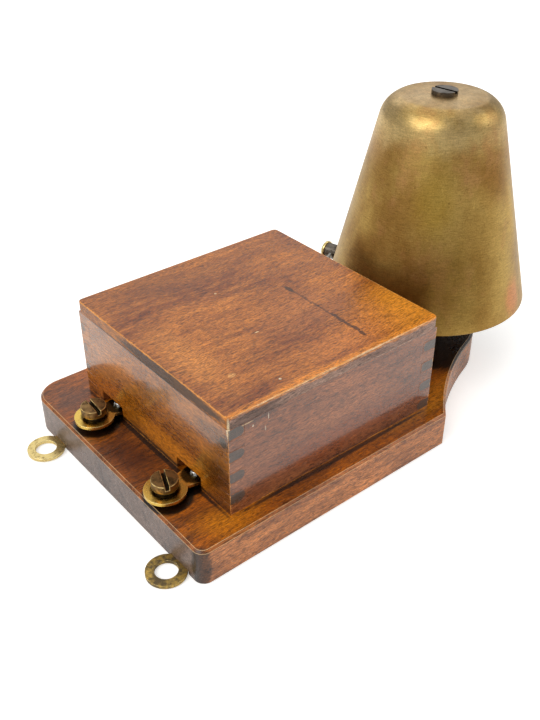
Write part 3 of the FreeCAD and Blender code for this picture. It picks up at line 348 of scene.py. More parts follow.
        colour = add(tree, "ShaderNodeMix", {0: black, 6: colour, 7: slate}, data_type="RGBA").outputs[2]
    # arrises rubbed to bare wood, in a line 0.2 to 1 mm wide, thinner where it stands
    if edges:
        centre = [(low + high) / 2 for low, high in zip(*edges)]
        half = [(high - low) / 2 for low, high in zip(*edges)]
        offset = add(tree, "ShaderNodeVectorMath", {0: here, 1: centre}, operation="SUBTRACT")
        size = add(tree, "ShaderNodeVectorMath", {0: offset.outputs[0]}, operation="ABSOLUTE")
        inset = add(tree, "ShaderNodeVectorMath", {0: half, 1: size.outputs[0]}, operation="SUBTRACT")
        three = add(tree, "ShaderNodeSeparateXYZ", {0: inset.outputs[0]}).outputs
        low = add(tree, "ShaderNodeMath", {0: three[0], 1: three[1]}, operation="MINIMUM").outputs[0]
        high = add(tree, "ShaderNodeMath", {0: three[0], 1: three[1]}, operation="MAXIMUM").outputs[0]
        flat_gap = add(tree, "ShaderNodeMath", {0: low, 1: three[2]}, operation="MAXIMUM").outputs[0]
        standing = add(tree, "ShaderNodeMath", {0: high, 1: 0.14 * MM}, operation="ADD").outputs[0]
        gap = add(tree, "ShaderNodeMath", {0: flat_gap, 1: standing}, operation="MINIMUM").outputs[0]
        width = add(tree, "ShaderNodeMapRange", {0: layers["fleck"], 1: 0.5, 2: 0.78, 3: 0.16 * MM,
                                                 4: 1.0 * MM}).outputs[0]
        worn = add(tree, "ShaderNodeMath", {0: width, 1: gap}, operation="SUBTRACT").outputs[0]
        worn = add(tree, "ShaderNodeMapRange", {0: worn, 1: -0.1 * MM, 2: 0.08 * MM}).outputs[0]
        if raw:
            # the stain gives out from 1.4 to 2.6 mm below the box's faces
            skin, bare_at = 1.4 * MM, 2.6 * MM
            deep = add(tree, "ShaderNodeMath", {0: low, 1: three[2]}, operation="MINIMUM").outputs[0]
            deep = add(tree, "ShaderNodeMapRange", {0: deep, 1: skin, 2: bare_at}).outputs[0]
            plain = add(tree, "ShaderNodeMix", {0: shade, 6: tone(raw[0]), 7: tone(raw[1])},
                        data_type="RGBA").outputs[2]
            plain = add(tree, "ShaderNodeVectorMath", {0: plain, "Scale": pores},
                        operation="SCALE").outputs[0]
            colour = add(tree, "ShaderNodeMix", {0: deep, 6: colour, 7: plain},
                         data_type="RGBA").outputs[2]
    else:
        worn = add(tree, "ShaderNodeAttribute", attribute_name="worn").outputs["Fac"]
    bare = add(tree, "ShaderNodeMapRange", {0: layers["cloud"], 1: 0.34, 2: 0.56,
                                            3: 0.3 * rub, 4: rub}).outputs[0]
    bare = add(tree, "ShaderNodeMath", {0: bare, 1: worn}, operation="MULTIPLY").outputs[0]
    colour = add(tree, "ShaderNodeMix", {0: bare, 6: colour, 7: tone(rubbed)}, data_type="RGBA").outputs[2]
    gloss = add(tree, "ShaderNodeMapRange", {0: layers["cloud"], 1: 0.3, 2: 0.7, 3: polish + 0.08,
                                             4: polish + 0.24}).outputs[0]
    tree.links.new(gloss, shader.inputs["Roughness"])
    # the polish has sunk into the pores and lies a little wavy over the stripes
    height = add(tree, "ShaderNodeMath", {0: layers["speckle"], 1: -0.8, 2: pores},
                 operation="MULTIPLY_ADD").outputs[0]
    height = add(tree, "ShaderNodeMath", {0: layers["figure"], 1: 0.9, 2: height},
                 operation="MULTIPLY_ADD").outputs[0]
    coated(tree, shader, colour, height, 0.045, 0.55)
    return material


# the board's rubbed arrises are cream: partly wear to bare wood, partly a painted highlight along the rounded
# edges
board_timber = stained_timber(
    "polished_mahogany_board", ("#260A03", "#C0660C"), ("#58260F", "#F09A58"), ("#46332C", "#8E766A"),
    rub=0.55, seed=0.31, polish=0.12, sheen=0.14, stripe=0.46, mottle=0.14, rubbed="#F2C890", marks=(
        # painted shade and a painted reflection of the dark end wall: the board between the terminals is
        # darkened
        ((-72, -3, 12.6), (10, 16, 3), "#360F05", 0.75, 0.3),
        ((-72, 36, 12.6), (10, 12, 3), "#5C3C2E", 0.7, 0.3),
        ((-66, -43, 12.6), (16, 10, 3), "#D88012", 0.7, 0.7),
        ((30, -40, 12.6), (60, 9, 3), "#C87A1C", 0.6, 0.5),
        # painted shadows: black on the board under each terminal's raised plate and its tail, lying a little
        # towards the near side
        ((-73.1, -24.8, 12.6), (8.2, 8.0, 1.5), "#080402", 0.96, 0.08),
        ((-65.5, -25, 12.6), (4.6, 4.6, 1.5), "#080402", 0.96, 0.1),
        ((-71.4, 19.2, 12.6), (8.2, 8.0, 1.5), "#080402", 0.96, 0.08),
        ((-64.5, 19, 12.6), (4.2, 4.6, 1.5), "#080402", 0.96, 0.1),
        # painted shade: thin dark lines on the board along the foot of the cover's terminal end and near side
        ((-64.4, -2, 12.6), (1.0, 45, 0.8), "#120804", 0.85, 0.25),
        ((-22, -43.8, 12.6), (44, 0.9, 0.8), "#1E0E06", 0.8, 0.25),
        ((-79.9, -22.5, 12.2), (1.5, 1.3, 1.6), "#120906", 0.95, 0.3),
        ((-79, -49, 6), (4.0, 4.0, 9), "#2A201C", 0.8, 0.3),
        # painted shadow: the board under the gong is near black
        ((56, -9, 12.6), (28, 31, 2), "#0C0503", 0.95, 0.12),
    ))
eased_copy("baseboard", board_timber, 0.32 * MM, steps=2, sharp=35)


# ------------------------------------------------------------------ cover
# A lift-off box of thin walnut-stained boards, comb-jointed at the corners with round-ended
# fingers whose end grain has gone black, under a plain glued lid; the polish is worn at edges.

COVER = ((-0.0636, -0.0429, 0.0126), (0.0195, 0.038, 0.0478))   # two corners of its box, in metres
FINGER_PITCH, FINGER_FLAT, FINGER_ROUND = 3.9 * MM, 3.7 * MM, 1.75 * MM
# a line of old ink or burnt shellac that runs across the lid from a blot
ink_line = [((-5.7 + 0.22 * math.sin(i * 2.3), -3.6 - 3.1 * i, 47.8),
             (0.42 + 0.1 * (i % 2) + 0.36 * (i > 5), 2.2, 0.6), "#442414", 0.62 + 0.2 * (i > 5), 0.5)
            for i in range(11)]
STAINS_AND_PAINTED_LIGHT = [
    # the lid, with the rubbed line along its near edge and a blot where the ink line begins
    # painted reflection: the orange patch at the lid's near corner by the gong is the brass gong mirrored in
    # the polish
    ((17, -33, 47.8), (20, 22, 2), "#EE9624", 0.6, 0.6),
    ((-20, -42.2, 47.8), (60, 1.8, 1.5), "#F09028", 0.6, 0.7),
    ((-22, -42.85, 47.75), (44, 0.22, 0.5), "#F8DCB0", 0.95, 0.4),
    ((19.45, -3, 47.75), (0.24, 41, 0.5), "#F0C48A", 0.85, 0.4),
    ((-55, -12, 47.8), (9, 26, 2), "#E09040", 0.45, 0.5),
    ((-34, 32, 47.8), (44, 14, 2), "#7A4420", 0.45, 0.4),
    ((-12, -12, 47.8), (22, 16, 2), "#B06A38", 0.4, 0.5),
    ((-8, -35, 47.8), (26, 9, 2), "#D8803A", 0.45, 0.5),
    ((-5.9, 0.0, 47.8), (1.0, 2.6, 0.8), "#33200F", 0.85, 0.25),
    ((-40.8, -37.4, 47.8), (0.45, 0.4, 0.8), "#F4E0BC", 0.9, 0.1),
    ((-50.5, -27.5, 47.8), (1.5, 1.2, 0.8), "#E8A85E", 0.6, 0.6),
    ((-26.5, 13.0, 47.8), (0.5, 0.4, 0.8), "#F0CE9A", 0.8, 0.3),
    ((-30.6, -14.0, 47.8), (0.9, 0.25, 0.8), "#F0CE9A", 0.8, 0.3),
    # the near side
    ((-20, -42.9, 21), (46, 1.5, 8), "#8E4010", 0.5, 0.4),
    ((-54, -42.9, 44.6), (11, 1.5, 2.6), "#3A2820", 0.45, 0.4),
    ((-61.5, -42.9, 18), (2.6, 1.5, 2.6), "#120A06", 0.6, 0.3),
    ((2, -42.9, 43.8), (20, 1.5, 0.16), "#D0B49C", 0.5, 0.7),
    ((-49.5, -42.9, 42), (0.22, 1.5, 1.2), "#F0DCC0", 0.8, 0.9),
    ((-50.6, -42.9, 38.5), (0.2, 1.5, 1.0), "#F0DCC0", 0.7, 0.9),
    ((-55, -42.9, 41.4), (0.3, 1.5, 0.4), "#F0DCC0", 0.9, 0.5),
    ((-57, -42.9, 43.2), (2.4, 1.5, 0.2), "#E8C088", 0.8, 0.7),
    ((-63.4, -42.7, 44.6), (0.6, 0.6, 4.4), "#F4DCB0", 0.85, 0.5),
    # the end over the terminals
    ((-63.6, -14, 18), (1.5, 26, 6), "#E0861A", 0.75, 0.5),
    ((-63.6, 22, 18), (1.5, 14, 8), "#C87014", 0.6, 0.5),
    ((-63.6, -38, 24), (1.5, 10, 13), "#3A1A06", 0.75, 0.5),
    ((-63.6, -36, 39), (1.5, 12, 5), "#5A4232", 0.6, 0.5),
    # painted shade: a dark band along the wall's foot by the board
    ((-63.6, -2, 13), (1.5, 44, 1.3), "#1E0E06", 0.8, 0.25),
    ((-63.6, -14, 45.7), (1.5, 31, 2.3), "#2C241F", 0.82, 0.2),
    # painted shade: a thin dark line under the lid's edge, where the flush lid meets the wall
    ((-63.6, -4, 43.7), (1.5, 40, 0.3), "#0E0906", 0.85, 0.2),
    ((-63.6, -40.4, 38.2), (1.5, 1.8, 2.0), "#2E2A26", 0.85, 0.15),
    ((-63.6, 36.4, 38.2), (1.5, 1.4, 1.9), "#3A322C", 0.7, 0.25),
    ((-63.6, 36.4, 30.4), (1.5, 1.4, 1.9), "#3A322C", 0.7, 0.25),
    ((-63.6, 36.4, 22.6), (1.5, 1.4, 1.9), "#3A322C", 0.7, 0.25),
] + ink_line
# the lid has lost more of its gloss than the walls; its edges are given greyer colours than the walls' sides,
# a painted sheen in place of the polish's reflection
lid_timber, wall_timber = (
    stained_timber(f"polished_walnut_{title}", ("#6E2E0A", "#D68232"), side, ("#6C3408", "#D08024"),
                   turned=True, seed=0.07, polish=0.12, sheen=sheen, heart=(0, 0.08, -0.02),
                   edges=COVER, mottle=0.22, raw=("#9A6A3A", "#C89A62"), rubbed="#EE9E46", marks=STAINS_AND_PAINTED_LIGHT,
                   fingers=(FINGER_PITCH, FINGER_FLAT, FINGER_ROUND, "#3C3833"))
    for title, sheen, side in (("lid", 0.05, ("#6C4A3C", "#BE9884")), ("walls", 1.0, ("#5C2A16", "#B66E40"))))
eased_copy("cover_lid", lid_timber, 0.08 * MM, steps=2, corner=1.6 * MM, crest=0.22 * MM)
for wall in ("near", "far", "terminal_end", "gong_end"):
    eased_copy(f"cover_wall_{wall}", wall_timber, 0.08 * MM, steps=1)

# glue blocks: unstained pine, sawn square, dull; the fibre runs up them, drawn 1.4 mm wide
material, tree, shader, here = surface("sawn_pine", Roughness=0.75)
along = add(tree, "ShaderNodeVectorMath", {0: here, 1: (1, 1, 0.06)}, operation="MULTIPLY").outputs[0]
fibre = add(tree, "ShaderNodeTexNoise", {"Vector": along, "Scale": 700.0, "Detail": 4.0}).outputs[0]
colour = add(tree, "ShaderNodeMix", {0: fibre, 6: tone("#A8763C"), 7: tone("#E0BC82")},
             data_type="RGBA").outputs[2]
coated(tree, shader, colour, fibre, 0.08, 0.7)
eased_copy("cover_blocks", material, 0.3 * MM)


# ------------------------------------------------------------------ gong
# A sugar-loaf gong spun from sheet brass over a chuck, turned bright and long since tarnished
# in patches. It hangs on a steel post and is held through a leather washer by one screw.

GONG_AT = Vector((60.4, -1.6, 0)) * MM
GONG_MOUTH_Z, GONG_HEIGHT, GONG_WALL = 26.4 * MM, 73.5 * MM, 1.6 * MM
GONG_MOUTH, GONG_CROWN, GONG_SHOULDER, GONG_HOLE = 36.8 * MM, 19.6 * MM, 9.5 * MM, 2.1 * MM   # radii


def lathe(name, profile, at, turns):
    """Turns a closed profile of (radius, height), clear of the axis, round a standing axis."""
    form = bmesh.new()
    rings = [[form.verts.new((at[0] + radius * math.cos(2 * math.pi * i / turns),
                              at[1] + radius * math.sin(2 * math.pi * i / turns),
                              at[2] + height)) for i in range(turns)] for radius, height in profile]
    for low, high in zip(rings, rings[1:] + rings[:1]):
        for i in range(turns):
            j = (i + 1) % turns
            form.faces.new((low[i], low[j], high[j], high[i]))
    bmesh.ops.recalc_face_normals(form, faces=form.faces)
    for face in form.faces:
        face.smooth = True
    mesh = bpy.data.meshes.new(name)
    form.to_mesh(mesh)
    form.free()
    mesh.set_sharp_from_angle(angle=math.radians(38))
    return mesh


def arc(centre, radius, start, stop, steps):
    """Points on an arc of a profile, its angles in degrees."""
    turned = [math.radians(start + (stop - start) * i / steps) for i in range(steps + 1)]
    return [(centre[0] + radius * math.cos(angle), centre[1] + radius * math.sin(angle))
            for angle in turned]


slope = math.atan2(GONG_MOUTH - GONG_CROWN, GONG_HEIGHT)
lean = math.degrees(slope)
top = GONG_MOUTH_Z + GONG_HEIGHT
# the shoulder's arc touches the leaning wall; from its end the crown rises, ever flatter, to the hole
shoulder_z, shoulder_end = top - GONG_SHOULDER, 72
wall_at = GONG_CROWN + (top - shoulder_z) * math.tan(slope)
shoulder_r = wall_at - GONG_SHOULDER / math.cos(slope)
LIP, WALL_STEPS, CROWN_STEPS = 0.5 * MM, 30, 14
outer = arc((GONG_MOUTH - 0.55 * MM, GONG_MOUTH_Z + LIP), LIP, -90, lean, 5)
foot = outer[-1]
touch = (shoulder_r + GONG_SHOULDER * math.cos(slope), shoulder_z + GONG_SHOULDER * math.sin(slope))
outer += [(foot[0] + (touch[0] - foot[0]) * i / WALL_STEPS,
           foot[1] + (touch[1] - foot[1]) * i / WALL_STEPS) for i in range(1, WALL_STEPS)]
outer += arc((shoulder_r, shoulder_z), GONG_SHOULDER, lean, shoulder_end, 16)
rim = outer[-1]
outer += [(rim[0] + (GONG_HOLE - rim[0]) * i / CROWN_STEPS,
           rim[1] + (top - rim[1]) * math.sin(math.radians(90 * i / CROWN_STEPS)))
          for i in range(1, CROWN_STEPS + 1)]
inner_foot = GONG_MOUTH - GONG_WALL / math.cos(slope)
inner = [(GONG_HOLE, top - GONG_WALL), (shoulder_r, top - GONG_WALL - 0.6 * MM)]
inner += arc((shoulder_r, shoulder_z), GONG_SHOULDER - GONG_WALL, 80, lean, 12)
inner += [(inner_foot, GONG_MOUTH_Z + LIP), (inner_foot + 0.3 * MM, GONG_MOUTH_Z)]
gong_mesh = lathe("gong_spun", outer + inner, GONG_AT, turns=160)

# spun brass, satin turned and tarnished: brown and copper-pink in clouds, with painted highlights in gold on
# the crown and shoulder and a painted reflection of the cover darkening its front
material, tree, shader, here = surface("tarnished_spun_brass", Metallic=1.0)
centred = add(tree, "ShaderNodeMapping", {"Vector": here, "Location": -GONG_AT}).outputs[0]
flat, tall = [add(tree, "ShaderNodeVectorMath", {0: centred, 1: stretch}, operation="MULTIPLY").outputs[0]
              for stretch in ((0.16, 0.16, 1.0), (1.0, 1.0, 0.7))]
# clouds of tarnish 20 mm across, drifts of 13, spots of 2, then turning lines 0.4 mm apart and
# some 3 mm long with a finer grain over them
cloud, drift, spots, turning, grain = [
    add(tree, "ShaderNodeTexNoise", {"Vector": vector, "Scale": scale, "Detail": detail,
                                     "Roughness": rough, **slice_at},
        noise_dimensions="4D" if slice_at else "3D").outputs[0]
    for vector, scale, detail, rough, slice_at in (
        (tall, 46.0, 5.0, 0.6, {}), (tall, 75.0, 6.0, 0.66, {"W": 3.0}),
        (centred, 520.0, 5.0, 0.7, {}), (flat, 2500.0, 4.0, 0.7, {}), (centred, 2600.0, 2.0, 0.5, {}))]
level = add(tree, "ShaderNodeMapRange", {0: cloud, 1: 0.36, 2: 0.64},
            interpolation_type="SMOOTHSTEP").outputs[0]
colour = add(tree, "ShaderNodeMix", {0: level, 6: tone("#9A763C"), 7: tone("#B89854")},
             data_type="RGBA").outputs[2]
pink = add(tree, "ShaderNodeMapRange", {0: drift, 1: 0.5, 2: 0.7, 4: 0.5},
           interpolation_type="SMOOTHSTEP").outputs[0]
colour = add(tree, "ShaderNodeMix", {0: pink, 6: colour, 7: tone("#B88458")}, data_type="RGBA").outputs[2]
colour = marked(tree, here, colour, (
    # painted reflection: a darker patch low on the front, where the cover is mirrored
    ((39.6, -27, 44), (24, 24, 30), "#664A1A", 0.66, 0.4),
    # painted highlights: the crown, the left shoulder and the whole shoulder ring lightened towards gold, and
    # a light streak down the near right side
    ((60, -2, 100), (23, 23, 6), "#DCBE96", 0.5, 0.5),
    ((44, 8, 88), (12, 14, 14), "#C8A270", 0.45, 0.5),
    ((60.4, -1.6, 92), (45, 45, 9), "#E2C88E", 0.6, 0.6),
    ((70.5, -27.5, 62), (6, 6, 22), "#CDA63C", 0.45, 0.5),
    ((69.6, -36.4, 34), (6.5, 6.5, 11), "#CC8256", 0.7, 0.7),
    ((42, -17, 70), (9, 9, 18), "#B99A3C", 0.35, 0.5),
    ((60, -27, 78), (12, 8, 14), "#86581F", 0.4, 0.5),
    ((52, -30, 60), (12, 8, 16), "#86602A", 0.35, 0.6),
    # painted highlight: a light patch on the right edge
    ((80, -30, 45), (4, 4, 14), "#D0AE50", 0.35, 0.5),
), spots, drift)
dark = add(tree, "ShaderNodeMapRange", {0: spots, 1: 0.6, 2: 0.76, 4: 0.55}).outputs[0]
colour = add(tree, "ShaderNodeMix", {0: dark, 6: colour, 7: tone("#5E4322")}, data_type="RGBA").outputs[2]
both = add(tree, "ShaderNodeMix", {0: 0.45, 2: turning, 3: grain}).outputs[0]
lines = add(tree, "ShaderNodeMapRange", {0: both, 1: 0.32, 2: 0.68, 3: 0.66, 4: 1.34}).outputs[0]
colour = add(tree, "ShaderNodeVectorMath", {0: colour, "Scale": lines}, operation="SCALE").outputs[0]
rough = add(tree, "ShaderNodeMapRange", {0: drift, 1: 0.3, 2: 0.7, 3: 0.33, 4: 0.45}).outputs[0]
rough = add(tree, "ShaderNodeMath", {0: dark, 1: 0.2, 2: rough}, operation="MULTIPLY_ADD").outputs[0]
tree.links.new(rough, shader.inputs["Roughness"])
coated(tree, shader, colour, both, 0.02, 0.4)
finished("gong_piece", gong_mesh, material, "base", ("gong",))


def worked_metal(name, base, stain, bright, rough=0.35, grit=500.0, patches=120.0, cover=0.5, relief=0.03,
                 marks=(), keep=0.42):
    """A metal with stain in patches, painted shade darkening its hollows, and bright arrises.

    grit and patches are per metre, relief in mm; cover is how much of it is stained, and the
    arrises stay bright where the grit is over keep."""
    material, tree, shader, here = surface(name, Metallic=1.0)
    patch, speck = [
        add(tree, "ShaderNodeTexNoise", {"Vector": here, "Scale": scale, "Detail": detail,
                                         "Roughness": uneven}).outputs[0]
        for scale, detail, uneven in ((patches, 5.0, 0.65), (grit, 4.0, 0.7))]
    both = add(tree, "ShaderNodeMix", {0: 0.45, 2: patch, 3: speck}).outputs[0]
    stained = add(tree, "ShaderNodeMapRange", {0: both, 1: 0.62 - 0.3 * cover, 2: 0.78 - 0.3 * cover,
                                               4: 0.85}).outputs[0]
    colour = add(tree, "ShaderNodeMix", {0: stained, 6: tone(base), 7: tone(stain)},
                 data_type="RGBA").outputs[2]
    # painted shade: faces with metal standing close before them are darkened towards a quarter of the stain's
    # colour, and keep no bright arrises
    hollow = add(tree, "ShaderNodeAttribute", attribute_name="hidden").outputs["Fac"]
    hollow = add(tree, "ShaderNodeMapRange", {0: hollow, 1: 0.12, 2: 0.4, 4: 0.94}).outputs[0]
    painted_shade_colour = add(tree, "ShaderNodeVectorMath", {0: tone(stain)[:3], "Scale": 0.25},
               operation="SCALE").outputs[0]
    colour = add(tree, "ShaderNodeMix", {0: hollow, 6: colour, 7: painted_shade_colour}, data_type="RGBA").outputs[2]
    worn = add(tree, "ShaderNodeAttribute", attribute_name="worn").outputs["Fac"]
    kept = add(tree, "ShaderNodeMapRange", {0: speck, 1: keep, 2: keep + 0.16}).outputs[0]
    open_air = add(tree, "ShaderNodeMath", {0: 1.0, 1: hollow}, operation="SUBTRACT").outputs[0]
    rubbed = add(tree, "ShaderNodeMath", {0: worn, 1: kept}, operation="MULTIPLY").outputs[0]
    rubbed = add(tree, "ShaderNodeMath", {0: rubbed, 1: open_air}, operation="MULTIPLY").outputs[0]
    colour = add(tree, "ShaderNodeMix", {0: rubbed, 6: colour, 7: tone(bright)},
                 data_type="RGBA").outputs[2]
    colour = marked(tree, here, colour, marks, speck, patch)
    gloss = add(tree, "ShaderNodeMath", {0: stained, 1: 0.25, 2: rough},
                operation="MULTIPLY_ADD").outputs[0]
    tree.links.new(gloss, shader.inputs["Roughness"])
    coated(tree, shader, colour, both, relief, 0.6)
    return material


def grained(name, low, high, scale):
    """A dull natural stuff, such as hide or box, with a close uneven grain, per metre."""
    material, tree, shader, here = surface(name, Roughness=0.7)
    cell = add(tree, "ShaderNodeTexVoronoi", {"Vector": here, "Scale": scale}).outputs["Distance"]
    colour = add(tree, "ShaderNodeMix", {0: cell, 6: tone(low), 7: tone(high)}, data_type="RGBA").outputs[2]
    coated(tree, shader, colour, cell, 0.1, 0.6)
    return material


# steel blackened by age, with brown rust in its pores
blackened_steel = worked_metal("blackened_steel", "#6E665C", "#2A2119", "#B0A696", rough=0.34, cover=0.5)
turned_steel = worked_metal("turned_steel", "#A3A09A", "#6B5F50", "#D8D6D0", rough=0.3, cover=0.3)
leather = grained("oak_tanned_leather", "#4A2C16", "#7A4E2A", 1400.0)
eased_copy("gong_post", turned_steel, 0.25 * MM)
eased_copy("gong_washer", leather, 0.2 * MM)
for node in ("post_washer", "post_nut"):
    eased_copy(node, turned_steel, 0.15 * MM)
eased_copy("gong_screw", blackened_steel, 0.3 * MM, steps=3)


# ------------------------------------------------------------------ terminals
# Two waisted tongues stamped from sheet brass, each on spacers and clamped by a cheese-head
# screw in a brass bush; their tails run under the cover to the soldered wires.

TERMINALS = (-73.3, -24.0), (-71.6, 20.0)
# the rims stay bright; round the screws, and on the tails by the cover, painted shade darkens the brass near
# black
painted_shade_on_plates = [((x, y, 16), (4.7, 4.7, 8), "#2A1D0E", 0.85, 0.12) for x, y in TERMINALS]
painted_shade_on_plates += [((-61.4, y, 15), (6.0, 4.9, 8), "#15100A", 0.92, 0.12) for x, y in TERMINALS]
terminal_brass = worked_metal("tarnished_stamped_brass", "#E8C262", "#6A4E22", "#FFE9A0", rough=0.24,
                              cover=0.35, patches=200.0, marks=painted_shade_on_plates, keep=0.3)
screw_brass = worked_metal("browned_screw_brass", "#94754A", "#2E2216", "#F0D08A", rough=0.3, cover=0.62,
                           patches=260.0)
solder = worked_metal("tin_lead_solder", "#B8B8B4", "#7A7A76", "#E6E6E2", rough=0.25, cover=0.2)
for side in ("near", "far"):
    eased_copy(f"terminal_{side}", terminal_brass, 0.22 * MM)
    eased_copy(f"terminal_screw_{side}", screw_brass, 0.45 * MM, steps=3)
    eased_copy(f"terminal_collar_{side}", blackened_steel, 0.2 * MM)
for node in ("terminal_bushes", "terminal_spacers"):
    eased_copy(node, screw_brass, 0.15 * MM)
eased_copy("terminal_solder", solder, 0.2 * MM)


# ------------------------------------------------------------------ hanging eyes
# Two eyes cut from gilt-bright sheet brass, screwed under the board so that their rings stand
# out past its end, to hang the bell on two hooks or nails.

gilt_brass = worked_metal("gilt_lacquered_brass", "#E8D08C", "#5E4620", "#FFF0C0", rough=0.24, cover=0.42,
                          grit=900.0, patches=300.0)
corroded_brass = worked_metal("corroded_gilt_brass", "#E0BC62", "#57504A", "#FFE7A0", rough=0.34, cover=0.85,
                              grit=700.0, patches=260.0, relief=0.12, keep=0.5)
eased_copy("hanging_eye_far", gilt_brass, 0.3 * MM, steps=3)
eased_copy("hanging_eye_near", corroded_brass, 0.3 * MM, steps=3)


# ------------------------------------------------------------------ hammer
# A round steel hammer on a wire rod, its face capped with brass; the rod is riveted to the
# armature and comes out through a slot in the cover to stand close beside the gong.

eased_copy("hammer_head", blackened_steel, 0.35 * MM)
eased_copy("hammer_cap", gilt_brass, 0.3 * MM)
eased_copy("hammer_rod", turned_steel, 0.1 * MM)


# ------------------------------------------------------------------ electromagnet
# A bent soft-iron frame carries two soft-iron cores; each has a boxwood bobbin wound with
# silk-covered copper wire, dyed green, in close turns.

# silk-covered wire: green floss lapped round the copper every 0.4 mm, faded in places, soft in sheen
silk_wire, tree, shader, here = surface("green_silk_covered_wire", Roughness=0.6, Sheen_Weight=0.4)
lap, fade = [add(tree, "ShaderNodeTexNoise", {"Vector": here, "Scale": scale, "Detail": 3.0}).outputs[0]
             for scale in (2400.0, 140.0)]
both = add(tree, "ShaderNodeMix", {0: 0.5, 2: lap, 3: fade}).outputs[0]
colour = add(tree, "ShaderNodeMix", {0: both, 6: tone("#24401F"), 7: tone("#5E8A4A")},
             data_type="RGBA").outputs[2]
coated(tree, shader, colour, lap, 0.05, 0.7)


def recipe(name, **inputs):
    """A geometry recipe with named number inputs: its tree, those inputs and its way out."""
    tree = bpy.data.node_groups.new(name, "GeometryNodeTree")
    tree.interface.new_socket("Geometry", in_out="INPUT", socket_type="NodeSocketGeometry")
    for title, value in inputs.items():
        tree.interface.new_socket(title, in_out="INPUT", socket_type="NodeSocketFloat").default_value = value
    tree.interface.new_socket("Geometry", in_out="OUTPUT", socket_type="NodeSocketGeometry")
    return tree, tree.nodes.new("NodeGroupInput").outputs, tree.nodes.new("NodeGroupOutput").inputs[0]


def grown(name, tree, spots, aims=None, **values):
    """Runs a recipe on loose points, each with the turn stored for it, and keeps a plain mesh."""
    points = bpy.data.meshes.new(name + "_points")
    points.from_pydata(spots, [], [])
    if aims:
        stored = points.attributes.new("aim", "FLOAT_VECTOR", "POINT")
        for item, aim in zip(stored.data, aims):
            item.vector = aim
    carrier = bpy.data.objects.new(name + "_carrier", points)
    bpy.context.collection.objects.link(carrier)
    run = carrier.modifiers.new("recipe", "NODES")
    run.node_group = tree
    for socket in tree.interface.items_tree:
        if socket.in_out == "INPUT" and socket.name in values:
            run[socket.identifier] = float(values[socket.name])
    mesh = bpy.data.meshes.new_from_object(carrier.evaluated_get(bpy.context.evaluated_depsgraph_get()))
    bpy.data.objects.remove(carrier)
    for face in mesh.polygons:
        face.use_smooth = True
    mesh.set_sharp_from_angle(angle=math.radians(35))
    return mesh


# forty close turns over a core, lying along Y from the point it is given
coil, given, done = recipe("close_wound_coil", Turns=40.0, Radius=9.5 * MM, Wire=0.3 * MM, Length=24.4 * MM)
path = add(coil, "GeometryNodeCurveSpiral", {
    "Resolution": 24, "Rotations": given["Turns"], "Start Radius": given["Radius"],
    "End Radius": given["Radius"], "Height": given["Length"]})
outline = add(coil, "GeometryNodeCurvePrimitiveCircle", {"Resolution": 6, "Radius": given["Wire"]})
wire = add(coil, "GeometryNodeCurveToMesh", {"Curve": path.outputs[0], "Profile Curve": outline.outputs[0],
                                             "Fill Caps": True})
under = add(coil, "GeometryNodeMeshCylinder", {"Vertices": 48, "Radius": given["Radius"],
                                               "Depth": given["Length"]})
half_way = add(coil, "ShaderNodeMath", {0: given["Length"], 1: 0.5}, operation="MULTIPLY")
lift = add(coil, "ShaderNodeCombineXYZ", {2: half_way.outputs[0]})
under = add(coil, "GeometryNodeTransform", {"Geometry": under.outputs[0], "Translation": lift.outputs[0]})
both = add(coil, "GeometryNodeJoinGeometry")
for piece in (under, wire):
    coil.links.new(piece.outputs[0], both.inputs[0])
laid = add(coil, "GeometryNodeTransform", {"Geometry": both.outputs[0], "Rotation": (-math.pi / 2, 0, 0)})
placed = add(coil, "GeometryNodeInstanceOnPoints", {"Points": given["Geometry"], "Instance": laid.outputs[0]})
whole = add(coil, "GeometryNodeRealizeInstances", {0: placed.outputs[0]})
dressed = add(coil, "GeometryNodeSetMaterial", {"Geometry": whole.outputs[0], "Material": silk_wire})
coil.links.new(dressed.outputs[0], done)
for node, middle in (("winding_terminal_side", -33.6), ("winding_gong_side", -9.6)):
    turns = grown(node, coil, [(middle * MM, -18.2 * MM, 28.0 * MM)])
    finished(node + "_piece", turns, silk_wire, "base", (node,))

soft_iron = worked_metal("annealed_soft_iron", "#6A6866", "#3A2A1E", "#A8A49E", rough=0.42, cover=0.45)
boxwood = grained("turned_boxwood", "#B88A44", "#D8B46A", 500.0)
for node in ("magnet_frame", "armature"):
    eased_copy(node, soft_iron, 0.3 * MM)
for node in ("bobbin_gong_side", "bobbin_terminal_side"):
    eased_copy(node, boxwood, 0.25 * MM)
for node in ("core_gong_side", "core_terminal_side"):
    eased_copy(node, soft_iron, 0.25 * MM)
for node in ("wire_coil_link", "wire_far_terminal", "wire_near_terminal", "wire_to_spring_post"):
    eased_copy(node, silk_wire, 0.05 * MM, steps=1, sharp=50)


# ------------------------------------------------------------------ make-and-break
# The armature hangs on a leaf spring clamped to a brass post; the spring's tail touches the
# contact screw in its pillar, and so opens and closes the circuit at each stroke.

for node in ("spring_post", "spring_clamp"):
    eased_copy(node, screw_brass, 0.2 * MM)
eased_copy("armature_spring", turned_steel, 0.05 * MM, steps=1)
for node in ("contact_lock_nut", "contact_pillar", "contact_screw"):
    eased_copy(node, screw_brass, 0.15 * MM)


# ------------------------------------------------------------------ small screws
# Turned wood and machine screws with sawn slots hold the frame, the cores, the armature, the
# clamp, its post, the contact's pillar, the terminals' tails and the hanging eyes.

